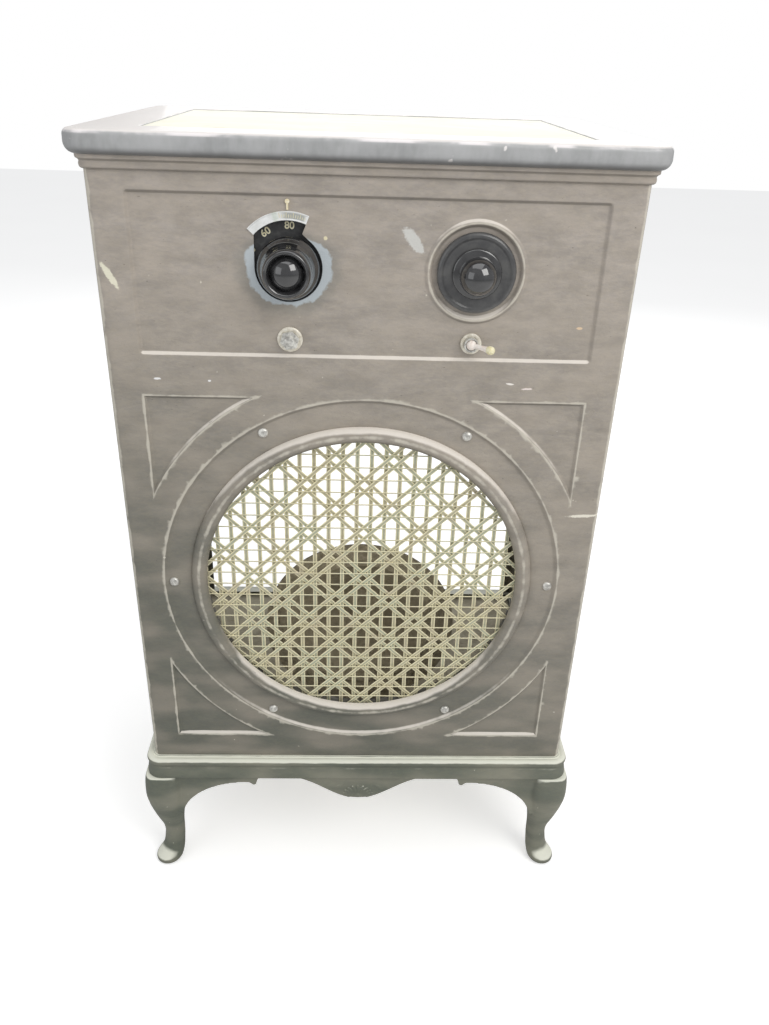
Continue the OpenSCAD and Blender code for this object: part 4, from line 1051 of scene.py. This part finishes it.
def makeFasteners():
    f = fastenerFacts
    p = pressFacts
    head, rise, shank = f["boltHead"], f["boltRise"], f["boltShank"]
    end = ringHigh.y - floorY
    bolt = [(0.0, -rise)]
    bolt += [(head * math.sin(math.radians(a)), -rise * math.cos(math.radians(a))) for a in range(12, 90, 12)]
    bolt += [(head, 0.0), (shank, 0.05), (shank, end), (0.0, end)]
    repeatShape("grilleBolts", lathe(bolt, 0, 0, 0, 32, False), "wornSteel", "cabinet", "steel_hardware",
                ["grille_bolts"], p["bolts"], p["boltCircle"], first=(0, floorY, ringZ))
    low = span("grille_nuts")[0]
    repeatShape("grilleNuts", prism(6, f["nut"], 0, f["nutThick"]), "wornSteel", "cabinet", "steel_hardware",
                ["grille_nuts"], p["bolts"], p["boltCircle"], first=(0, low.y, ringZ), freeTurn=1.0)


makeFasteners()


def joined(*shapes):
    verts, faces = [], []
    for v, f in shapes:
        base = len(verts)
        verts += v
        faces += [tuple(base + i for i in face) for face in f]
    return verts, faces


lidFacts = {"over": 12.0, "border": 48.0, "tall": 17.0, "recess": 2.5, "rim": 8.0, "sheet": 1.6}


def makeLid():
    f = lidFacts
    over, inner = f["over"], f["over"] - f["border"]
    z = cabinet["top"]
    top = z + f["tall"]
    section = [(inner, top - f["recess"]), (inner, top - 0.5), (inner + 0.5, top)]
    section += [(over - 4.6 + 4.4 * math.sin(math.radians(a)), top - 4.6 + 4.6 * math.cos(math.radians(a)))
                for a in range(0, 91, 10)]
    section += [(over - 7.0 + 7.0 * math.cos(math.radians(a)), z + 8.0 - 8.0 * math.sin(math.radians(a)))
                for a in range(0, 91, 9)]
    under = z + f["sheet"]
    section += [(-20.0, z), (-20.0, under), (over - 4.0, under), (over - 4.0, top - 4.6)]
    verts, faces = planSweep(section)
    count = len(verts) // len(section)
    faces = faces[:(len(section) - 1) * count]
    faces.append(tuple(range(count)))
    faces.append(tuple(range(len(verts) - count, len(verts))))
    far, near = -2 * f["sheet"] - 0.6, -f["sheet"] - 0.6
    rim = planSweep([(near, z - f["rim"]), (near, z + 0.8), (far, z + 0.8), (far, z - f["rim"])])
    shell = meshPiece("lidShell", *joined((verts, faces), rim), angle=38.0)
    dress(shell, "lid", "lid_paint", "lidPaint", "lid")
    plate = softCopy("lidInset", "lid_top_panel", 0.5, 3)
    dress(plate, "lid", "lid_panel_enamel", "lidEnamel", "lid_top_panel")


makeLid()


def makeMouldings():
    top, foot = cabinet["top"], cabinet["foot"]
    neck = [(0.05, top - 10), (1.6, top - 10), (2.6, top - 9.2), (3.0, top - 8.0), (3.0, top - 6.4),
            (2.6, top - 5.4), (2.7, top - 4.6), (3.6, top - 3.6), (4.8, top - 3.0), (5.2, top - 2.2),
            (5.2, top), (0.05, top)]
    ring = meshPiece("neckMoulding", *planSweep(neck), angle=42.0)
    dress(ring, "cabinet", "cabinet_paint", "cabinetPaint", "neck_moulding")
    low = cabinet["base"]
    base = [(8.8, low), (9.4, low + 0.7), (9.4, low + 2.0), (9.2, low + 4.5), (8.7, low + 7.5),
            (8.0, low + 10.5), (7.2, low + 12.8), (6.7, low + 13.9), (6.6, low + 14.8)]
    base += [(4.6 + 4.4 * math.cos(math.radians(a)), foot - 5.0 + 4.4 * math.sin(math.radians(a)))
             for a in range(-54, 100, 11)]
    base += [(2.4, foot - 1.5), (1.6, foot - 1.0), (1.2, foot), (-7.5, foot), (-7.5, foot - 12),
             (-20.5, foot - 12), (-20.5, low)]
    ring = meshPiece("baseMoulding", *planSweep(base), angle=42.0)
    dress(ring, "cabinet", "base_paint", "basePaint", "base_moulding")


makeMouldings()
print("lid and mouldings ready")

# cabriole leg, measured inwards from the cabinet's corner: height, outer face, inner face, squareness
legShape = {
    "stations": (
        (128.0, -10.6, 21.2, 0.60), (125.5, -11.6, 23.0, 0.60), (121.0, -12.4, 25.0, 0.60),
        (114.0, -13.0, 26.0, 0.61), (107.0, -13.3, 26.2, 0.63), (99.0, -13.1, 25.8, 0.65),
        (91.0, -12.0, 24.9, 0.68), (83.0, -10.5, 24.4, 0.70), (75.0, -8.7, 23.6, 0.74),
        (67.0, -6.7, 22.8, 0.78), (59.0, -4.4, 21.8, 0.82), (51.0, -2.1, 21.0, 0.87),
        (44.0, -0.8, 20.7, 0.91), (36.0, -0.4, 20.6, 0.95), (29.0, -1.1, 20.4, 0.98),
        (23.0, -1.9, 20.0, 1.0), (18.0, -3.1, 19.7, 1.0), (14.0, -4.9, 19.5, 1.0),
        (10.5, -7.7, 19.0, 1.0), (7.0, -10.5, 18.2, 1.0), (4.0, -11.3, 17.1, 1.0),
        (1.5, -10.3, 14.6, 1.0), (0.0, -7.3, 11.2, 1.0)),
    "earReach": 110.0, "earRise": 50.0, "voxel": 1.15, "sides": 40, "smooth": 4,
}


# a smooth curve through the rows
def spline(rows, t):
    i = min(len(rows) - 2, int(t))
    f = t - i
    a, b = rows[max(0, i - 1)], rows[i]
    c, d = rows[i + 1], rows[min(len(rows) - 1, i + 2)]
    made = []
    for p, q, r, s in zip(a, b, c, d):
        bend, twist = 2 * p - 5 * q + 4 * r - s, 3 * q - p - 3 * r + s
        made.append(0.5 * (2 * q + (r - p) * f + bend * f * f + twist * f ** 3))
    return tuple(made)


def loftRings(rings):
    verts = [v for ring in rings for v in ring]
    n = len(rings[0])
    faces = [(k * n + i, k * n + (i + 1) % n, (k + 1) * n + (i + 1) % n, (k + 1) * n + i)
             for k in range(len(rings) - 1) for i in range(n)]
    faces.append(tuple(range(n)))
    faces.append(tuple(range(len(verts) - n, len(verts))))
    return verts, faces


def plate(outline, y0, y1):
    n = len(outline)
    verts = [(x, y0, z) for x, z in outline] + [(x, y1, z) for x, z in outline]
    faces = [tuple(range(n)), tuple(range(n, 2 * n))]
    faces += [(i, (i + 1) % n, n + (i + 1) % n, n + i) for i in range(n)]
    return verts, faces


def castShape(name, shapes, voxel, rounds):
    verts, faces = joined(*shapes)
    piece = settle(name, rawMesh(name, verts, faces), True, 180.0, 0.0)
    remesh = piece.modifiers.new("cast", "REMESH")
    remesh.mode = "VOXEL"
    remesh.voxel_size = voxel * mm
    ease = piece.modifiers.new("ease", "SMOOTH")
    ease.iterations = rounds
    ease.factor = 0.5
    bake(piece, angle=180.0)
    return piece


# the ear's lower edge is a quarter of an ellipse that ends in a small drop
def legEar():
    top, reach = cabinet["base"], legShape["earReach"]
    tip = reach - 8.5
    wide, high, edge = tip - 32.5, legShape["earRise"], top - 9.0
    outline = [(4.0, top), (4.0, top - 40)]
    outline += [(tip - 8 - wide * math.cos(math.radians(a)), edge - high + high * math.sin(math.radians(a)))
                for a in range(4, 90, 4)]
    outline += [(tip - 5.0, edge - 0.3), (tip - 3.0, edge - 1.4)]
    outline += [(tip + 2.6 * math.cos(math.radians(a)), top - 10 + 2.6 * math.sin(math.radians(a)))
                for a in range(210, 371, 20)]
    outline += [(tip + 3.4, top - 6.5), (tip + 5.0, top - 3.0), (reach, top - 0.2)]
    return outline


def makeLegs():
    f = legShape
    rings = []
    steps = (len(f["stations"]) - 1) * 3
    for k in range(steps + 1):
        z, outer, inner, square = spline(f["stations"], k / 3)
        c, h = (outer + inner) / 2, (inner - outer) / 2
        ring = []
        for i in range(f["sides"]):
            a = 2 * math.pi * i / f["sides"]
            u, v = math.cos(a), math.sin(a)
            ring.append((c + h * math.copysign(abs(u) ** square, u),
                         c + h * math.copysign(abs(v) ** square, v), z))
        rings.append(ring)
    outline = legEar()
    frontEar = plate(outline, -6.0, 2.0)
    sideEar = ([(y, x, z) for x, y, z in frontEar[0]], frontEar[1])
    leg = castShape("legMaster", [loftRings(rings), frontEar, sideEar], f["voxel"], f["smooth"])
    master = leg.data
    for name, node, sx, sy in (
            ("legFrontLeft", "leg_front_left", 1, 1), ("legFrontRight", "leg_front_right", -1, 1),
            ("legRearLeft", "leg_rear_left", 1, -1), ("legRearRight", "leg_rear_right", -1, -1)):
        mesh = master.copy()
        mesh.name = name
        x0 = -cabinet["half"] * sx
        y0 = frontY if sy > 0 else backY
        mesh.transform(Matrix.Translation((x0 * mm, y0 * mm, 0)) @ Matrix.Diagonal((sx, sy, 1, 1)))
        low = min(v.co.z for v in mesh.vertices)
        for v in mesh.vertices:
            v.co.z = min(v.co.z - low * max(0.0, 1 - v.co.z / 0.02), cabinet["base"] * mm)
        piece = settle(name, mesh, True, 180.0, 0.0)
        dress(piece, "cabinet", "leg_paint", "basePaint", node)
    bpy.data.objects.remove(leg)


makeLegs()
print("legs ready")


def blob(centre, size, lean=0.0, rings=10, sides=14):
    verts, faces = [], []
    for i in range(rings + 1):
        a = math.pi * i / rings
        for j in range(sides):
            b = 2 * math.pi * j / sides
            x, y = size[0] * math.sin(a) * math.cos(b), size[1] * math.sin(a) * math.sin(b)
            z = size[2] * math.cos(a)
            verts.append((centre[0] + x * math.cos(lean) + z * math.sin(lean), centre[1] + y,
                          centre[2] - x * math.sin(lean) + z * math.cos(lean)))
    for i in range(rings):
        for j in range(sides):
            k = (j + 1) % sides
            faces.append((i * sides + j, i * sides + k, (i + 1) * sides + k, (i + 1) * sides + j))
    return verts, faces


# a small scallop spray in the middle of the apron
apronFacts = {"half": 63.0, "drop": 29.0, "thick": 4.0, "petals": 9, "voxel": 0.75, "relief": 2.0}


def makeApron():
    a = apronFacts
    high = span("front_apron")[1]
    y0, y1 = high.y - a["thick"], high.y
    top = high.z
    curve = []
    for i in range(25):
        u = i / 24
        curve.append((a["half"] - (a["half"] - 9) * u,
                      top - 1.5 - (a["drop"] - 1.5) * (0.55 * u + 0.45 * (1 - math.cos(math.pi * u)) / 2)))
    foot = [(9 * math.cos(math.radians(t)), top - a["drop"] + 1.2 - 1.2 * math.sin(math.radians(t)))
            for t in range(15, 166, 15)]
    outline = [(-a["half"], top), (a["half"], top)] + curve + foot + [(-x, z) for x, z in reversed(curve)]
    shapes = [plate(outline, y0, y1)]
    focus = top - a["drop"] + 4.5
    for i in range(a["petals"]):
        lean = math.radians(-78 + 156 * i / (a["petals"] - 1))
        reach = 11.0 - 2.2 * abs(math.sin(lean))
        shapes.append(blob((math.sin(lean) * reach, y0 + 0.4, focus + math.cos(lean) * reach * 0.72),
                           (1.9, a["relief"], 6.2), lean))
        bead = reach + 6.4
        shapes.append(blob((math.sin(lean) * bead, y0 + 0.5, focus + math.cos(lean) * bead * 0.72),
                           (1.7, a["relief"] * 0.8, 1.7)))
    shapes.append(blob((0, y0 + 0.2, focus), (5.6, a["relief"] + 0.3, 3.4)))
    for side in (-1, 1):
        shapes.append(blob((side * 21, y0 + 0.6, top - 12.5), (6.5, 1.6, 1.7), side * 0.55))
        shapes.append(blob((side * 29, y0 + 0.7, top - 9.0), (5.0, 1.3, 1.4), side * 0.35))
    piece = castShape("frontApron", shapes, a["voxel"], 2)
    dress(piece, "cabinet", "base_paint", "basePaint", "front_apron")


makeApron()
print("apron ready")

knobFacts = {"skirt": 24.0, "reach": 26.0, "disc": 31.0, "volumeReach": 26.0, "segments": 128}
# plain numerals from 0 to 100 over half a turn
numeralFacts = {"underIndex": 79, "degrees": 1.8, "size": 7.6, "radius": 30.6}
tickFacts = {"count": 12, "first": -9.0, "step": 2.6, "radius": 37.4, "long": 3.6, "short": 2.2, "half": 0.22}


# the profile with every corner rounded but its two ends
def roundProfile(points, radius=0.5, count=4):
    done = []
    for i, (x, y) in enumerate(points):
        if i in (0, len(points) - 1) or x < 1e-6:
            done.append((x, y))
            continue
        a, b = Vector(points[i - 1]), Vector(points[i + 1])
        c = Vector((x, y))
        r = min(radius, (a - c).length * 0.45, (b - c).length * 0.45)
        p, q = c + (a - c).normalized() * r, c + (b - c).normalized() * r
        for k in range(count + 1):
            t = k / count
            done.append(tuple(p * (1 - t) ** 2 + c * 2 * t * (1 - t) + q * t * t))
    return done


def dome(width, height, tip, count=12):
    radius = (width * width + height * height) / (2 * height)
    a = math.asin(width / radius)
    return [(radius * math.sin(a * (1 - i / count)), tip + radius - radius * math.cos(a * (1 - i / count)))
            for i in range(count + 1)]


def makeTuning():
    k = knobFacts
    s, tip = k["skirt"], -k["reach"]
    shell = [(3.2, 1.2), (s - 1.0, 1.5), (s, 0.6), (s, -1.6), (s - 0.9, -3.6), (s - 3.2, -7.0),
             (s - 4.6, -11.0), (s - 5.2, tip + 7.5), (s - 5.7, tip + 4.6), (s - 7.0, tip + 2.7),
             (s - 8.2, tip + 2.3), (s - 9.4, tip + 3.3), (s - 10.3, tip + 5.6), (s - 11.0, tip + 8.0)]
    profile = roundProfile(shell, 0.9) + dome(s - 11.6, 7.2, tip)
    profile = [(3.2, -15.0)] + profile[:-1] + [(0.0, tip)]
    inner = [(0.0, -16.9), (3.1, -16.9), (3.1, 1.2)]
    closed = inner + profile[1:]
    knob = turnedPiece("tuningKnob", closed, tuneX, frontY, tuneZ, k["segments"])
    dress(knob, "tuning", "control_black", "blackGlaze", "tuning_knob")
    y = span("tuning_dial")[0].y
    face = [(3.2, 11.0), (3.2, 0.0), (37.6, 0.0), (38.0, 0.4), (38.0, 2.0), (9.2, 2.0), (9.2, 11.0)]
    dial = turnedPiece("tuningDial", roundProfile(face, 0.3), tuneX, y, tuneZ, 144)
    dress(dial, "tuning", "control_black", "dialEnamel", "tuning_dial")
    makeNumerals(y)


def makeNumerals(y):
    n = numeralFacts
    words = []
    for value in range(0, 101, 20):
        turn = math.radians((value - n["underIndex"]) * n["degrees"])
        curve = bpy.data.curves.new("numeral", "FONT")
        curve.body = str(value)
        curve.size = n["size"] * mm
        curve.align_x, curve.align_y = "CENTER", "CENTER"
        curve.extrude = 0.12 * mm
        curve.offset = 0.16 * mm
        holder = putInScene("numeral", curve)
        bpy.context.view_layer.update()
        mesh = bpy.data.meshes.new_from_object(holder.evaluated_get(bpy.context.evaluated_depsgraph_get()))
        bpy.data.objects.remove(holder)
        stand = Matrix.Rotation(math.pi / 2, 4, "X")
        spin = Matrix.Rotation(turn, 4, "Y")
        mesh.transform(Matrix.Translation((tuneX * mm, (y - 0.1) * mm, tuneZ * mm)) @ spin
                       @ Matrix.Translation((0, 0, n["radius"] * mm)) @ stand)
        words.append(mesh)
    work = bmesh.new()
    for mesh in words:
        work.from_mesh(mesh)
    whole = bpy.data.meshes.new("dialNumerals")
    work.to_mesh(whole)
    work.free()
    numerals = settle("dialNumerals", whole, True, 40.0)
    dress(numerals, "tuning", "cream_mark", "dialNumeral")


makeTuning()


# part of a flat ring with raised rims
def sectorPlate(inner, outer, start, end, y0, y1, rim, centreX, centreZ, count=72):
    raised = y0 - rim
    section = [(inner, y1), (inner, raised), (inner + 0.7, raised), (inner + 1.1, y0),
               (outer - 1.1, y0), (outer - 0.7, raised), (outer, raised), (outer, y1)]
    verts, faces = [], []
    for i in range(count + 1):
        a = math.radians(start + (end - start) * i / count)
        verts += [(centreX + r * math.sin(a), y, centreZ + r * math.cos(a)) for r, y in section]
    n = len(section)
    for i in range(count):
        for k in range(n):
            j = (k + 1) % n
            faces.append((i * n + k, i * n + j, (i + 1) * n + j, (i + 1) * n + k))
    faces.append(tuple(range(n)))
    faces.append(tuple(range(count * n, count * n + n)))
    return verts, faces


def makeScale():
    p = pressFacts
    t = tickFacts
    shape = sectorPlate(p["windowRadius"], p["windowRadius"] + 6.5, p["windowFrom"], p["windowTo"],
                        floorY - 0.9, floorY, 0.35, tuneX, tuneZ)
    arc = meshPiece("scaleArc", *shape, angle=40.0)
    dress(arc, "cabinet", "scale_metal", "scaleSilver", "dial_scale_arc")
    ticks = []
    for i in range(t["count"]):
        a = math.radians(t["first"] + t["step"] * i)
        end = t["radius"] + (t["long"] if i % 3 == 0 else t["short"])
        corners = []
        for r, side in ((t["radius"], -1), (end, -1), (end, 1), (t["radius"], 1)):
            corners.append((tuneX + r * math.sin(a) + side * t["half"] * math.cos(a),
                            tuneZ + r * math.cos(a) - side * t["half"] * math.sin(a)))
        ticks.append(plate(corners, floorY - 1.15, floorY - 0.85))
    dress(meshPiece("scaleTicks", *joined(*ticks)), "cabinet", "cream_mark", "dialNumeral")
    mark = softCopy("indexMark", "dial_index", 0.35, 2)
    dress(mark, "cabinet", "cream_mark", "creamMark", "dial_index")


makeScale()


def makeVolume():
    k = knobFacts
    d = k["disc"]
    y = floorY - 0.3
    disc = [(3.15, -2.6), (9, -2.6), (9, 0), (d - 1, 0), (d, -1.0), (d, -2.6), (d - 0.8, -4.0),
            (d - 2.2, -4.9), (d - 3.6, -4.9), (d - 5.2, -4.1), (d - 6.4, -3.9), (3.15, -4.0)]
    piece = turnedPiece("volumeDisc", roundProfile(disc, 0.5), volumeX, y, volumeZ, k["segments"])
    dress(piece, "volume", "control_black", "blackDisc", "volume_disc")
    tip = -k["volumeReach"] - cabinet["press"] + 0.3
    head = d / 2 - 1
    body = [(0, 24), (3.1, 24), (3.1, -4.0), (18.6, -4.1), (19.3, -4.9), (19.3, -5.8),
            (18.4, -6.8), (16.0, -7.4), (13.6, -8.0), (12.5, -9.4), (12.6, -11.0)]
    profile = roundProfile(body, 0.7)
    profile += [(head * math.cos(math.radians(a)), tip + head - head * math.sin(math.radians(a)))
                for a in range(-8, 82, 6)]
    profile += [(0.0, tip)]
    knob = turnedPiece("volumeKnob", profile, volumeX, y, volumeZ, k["segments"], False)
    dress(knob, "volume", "control_black", "blackGlaze", "volume_knob")


makeVolume()


def makeToggle():
    pivot = Vector([c / mm for c in joints["toggle_throw"]["pos_m"]])
    switch = softCopy("toggleSwitch", "toggle_switch", 0.4, 3)
    dress(switch, "cabinet", "control_casing", "wornSteel", "toggle_switch")
    nut = softCopy("toggleNut", "toggle_nut", 0.5, 3)
    dress(nut, "cabinet", "steel_hardware", "washerCream", "toggle_nut")
    shaft = [(0, -4.3), (2.2, -3.6), (3.6, -2.2), (4.3, 0), (3.6, 2.2), (2.5, 3.4), (1.9, 4.6),
             (1.85, 8), (2.1, 13), (2.5, 16.0), (2.3, 16.6), (0, 16.8)]
    ball = [(0, 15.6), (2.0, 15.8), (3.0, 16.8), (3.4, 18.4), (3.4, 19.6), (3.1, 21.0),
            (2.3, 22.0), (1.2, 22.4), (0, 22.5)]
    for name, profile, finishName, nodes in (("toggleLever", shaft, "leverPink", ["toggle_lever"]),
                                             ("toggleTip", ball, "leverTip", [])):
        verts, faces = lathe(roundProfile(profile, 0.4), 0, 0, 0, 40, False)
        # the lathe's axis points back, so the lever is turned to stand out to the right
        turn = Matrix.Rotation(math.radians(45), 3, "Z") @ Matrix.Rotation(math.pi, 3, "Z")
        verts = [tuple(pivot + turn @ Vector(v)) for v in verts]
        dress(meshPiece(name, verts, faces, angle=50.0), "toggle", "lever_ivory", finishName, *nodes)


makeToggle()


def makeStud():
    low, high = span("chassis_stud_nut")
    cx, cz = (low.x + high.x) / 2, (low.z + high.z) / 2
    washer = roundProfile([(4.1, 0), (10.2, 0), (10.2, -1.1), (9.0, -1.9), (4.1, -1.9)], 0.5)
    ring = turnedPiece("studWasher", washer, cx, floorY, cz, 64, angle=45.0)
    dress(ring, "cabinet", "steel_hardware", "washerCream")
    verts, faces = prism(6, 7.8, 0, 3.6, 0.7)
    turn = math.radians(12)
    verts = [(cx + x * math.cos(turn) - z * math.sin(turn), floorY - 5.4 + y,
              cz + x * math.sin(turn) + z * math.cos(turn)) for x, y, z in verts]
    nut = meshPiece("studNut", verts, faces, angle=30.0)
    dress(nut, "cabinet", "steel_hardware", "wornSteel", "chassis_stud_nut")
    stud = softCopy("chassisStud", "chassis_stud", 0.6, 3)
    dress(stud, "cabinet", "steel_hardware", "wornSteel", "chassis_stud")


makeStud()
print("controls ready")

# CAD pieces that keep their shape, by finish
keptShapes = {
    "cabinetPaint": ("side_panel_left", "side_panel_right"),
    "wornSteel": ("rear_cover_screws", "leg_bolts", "volume_nut"),
    "grommetRubber": ("cable_grommet",),
    "fibreBoard": ("floor_board",),
    "chassisPaint": ("grille_clamp_ring", "shelf_rail_left", "shelf_rail_right", "set_shelf",
        "speaker_foot"),
    "platedSteel": ("chassis_pan", "condenser_frames", "filter_cans"),
    "plateMetal": ("condenser_stators", "rotor_left", "rotor_center", "rotor_right"),
    "beltBronze": ("drive_belts",),
    "casingBlack": ("volume_control", "transformer_bells"),
    "socketBoard": ("valve_sockets",),
    "bakelite": ("valve_bases",),
    "valveGlass": ("valve_glasses",),
    "coilIron": ("power_transformer", "speaker_magnet"),
    "feltGasket": ("speaker_frame",),
    "conePaper": ("speaker_cone",),
}
for finishName, nodes in keptShapes.items():
    for node in nodes:
        paintNode(node, finishName)
cover = softCopy("rearCover", "rear_cover", 0.3, 2)
dress(cover, "cabinet", "cover_paint", "coverPaint", "rear_cover")

# studio: pale floor, soft light, white behind; each lamp's place, target, size, power and tone
studio = {
    "keyLamp": ((1.3, -1.5, 2.0), (0, 0, 0.45), (1.4, 1.4), 27.0, (1.0, 0.985, 0.96)),
    "topLamp": ((-0.1, -0.25, 2.4), (0, 0, 0.4), (1.8, 1.6), 11.0, (1.0, 1.0, 1.0)),
    "fillLamp": ((-1.7, -1.4, 1.1), (0, 0, 0.4), (1.4, 1.4), 6.0, (0.96, 0.98, 1.0)),
    "backLamp": ((0.3, 1.9, 1.3), (0, 0, 0.3), (2.0, 1.4), 12.0, (1.0, 1.0, 1.0)),
}
worldStrength = 0.5
floorGlow = 0.45
floorReach = 6.0


def areaLamp(name, at, target, size, power, tone):
    data = bpy.data.lights.new(name, "AREA")
    data.shape = "RECTANGLE"
    data.size, data.size_y = size
    data.energy = power
    data.color = tone
    lamp = putInScene(name, data)
    lamp.location = at
    lamp.rotation_euler = (Vector(target) - Vector(at)).to_track_quat("-Z", "Y").to_euler()


def makeStudio():
    for name, facts in studio.items():
        areaLamp(name, *facts)
    world = bpy.data.worlds.new("studio")
    kit = emptyTree(world)
    rays = kit.add("ShaderNodeLightPath", out="Is Camera Ray")
    sky = kit.add("ShaderNodeBackground", {}, {"Color": (0.97, 0.98, 1.0, 1.0), "Strength": worldStrength})
    white = kit.add("ShaderNodeBackground", {}, {"Color": (1.0, 1.0, 1.0, 1.0), "Strength": 1.0})
    both = kit.add("ShaderNodeMixShader", {}, {0: rays, 1: sky, 2: white})
    kit.add("ShaderNodeOutputWorld", {}, {"Surface": both})
    bpy.context.scene.world = world
    mesh = bpy.data.meshes.new("studioFloor")
    corners = [(floorReach * x, floorReach * y, 0) for x, y in ((-1, -1), (1, -1), (1, 1), (-1, 1))]
    mesh.from_pydata(corners, [], [(0, 1, 2, 3)])
    floor = putInScene("studioFloor", mesh)
    material = bpy.data.materials.new("paleFloor")
    kit = emptyTree(material)
    rays = kit.add("ShaderNodeLightPath", out="Is Camera Ray")
    cloud = kit.grain(kit.place(), 2.0, 3.0)
    tone = kit.mix(cloud, (0.80, 0.80, 0.795), (0.84, 0.84, 0.835))
    ground = kit.add("ShaderNodeBsdfDiffuse", {}, {"Color": tone})
    glow = kit.add("ShaderNodeEmission", {}, {"Color": (1.0, 1.0, 1.0, 1.0), "Strength": floorGlow})
    lit = kit.add("ShaderNodeAddShader", {}, {0: ground, 1: glow})
    surface = kit.add("ShaderNodeMixShader", {}, {0: rays, 1: ground, 2: lit})
    kit.add("ShaderNodeOutputMaterial", {}, {"Surface": surface})
    mesh.materials.append(material)


makeStudio()
bpy.context.scene.view_settings.view_transform = "Standard"
print("studio ready")
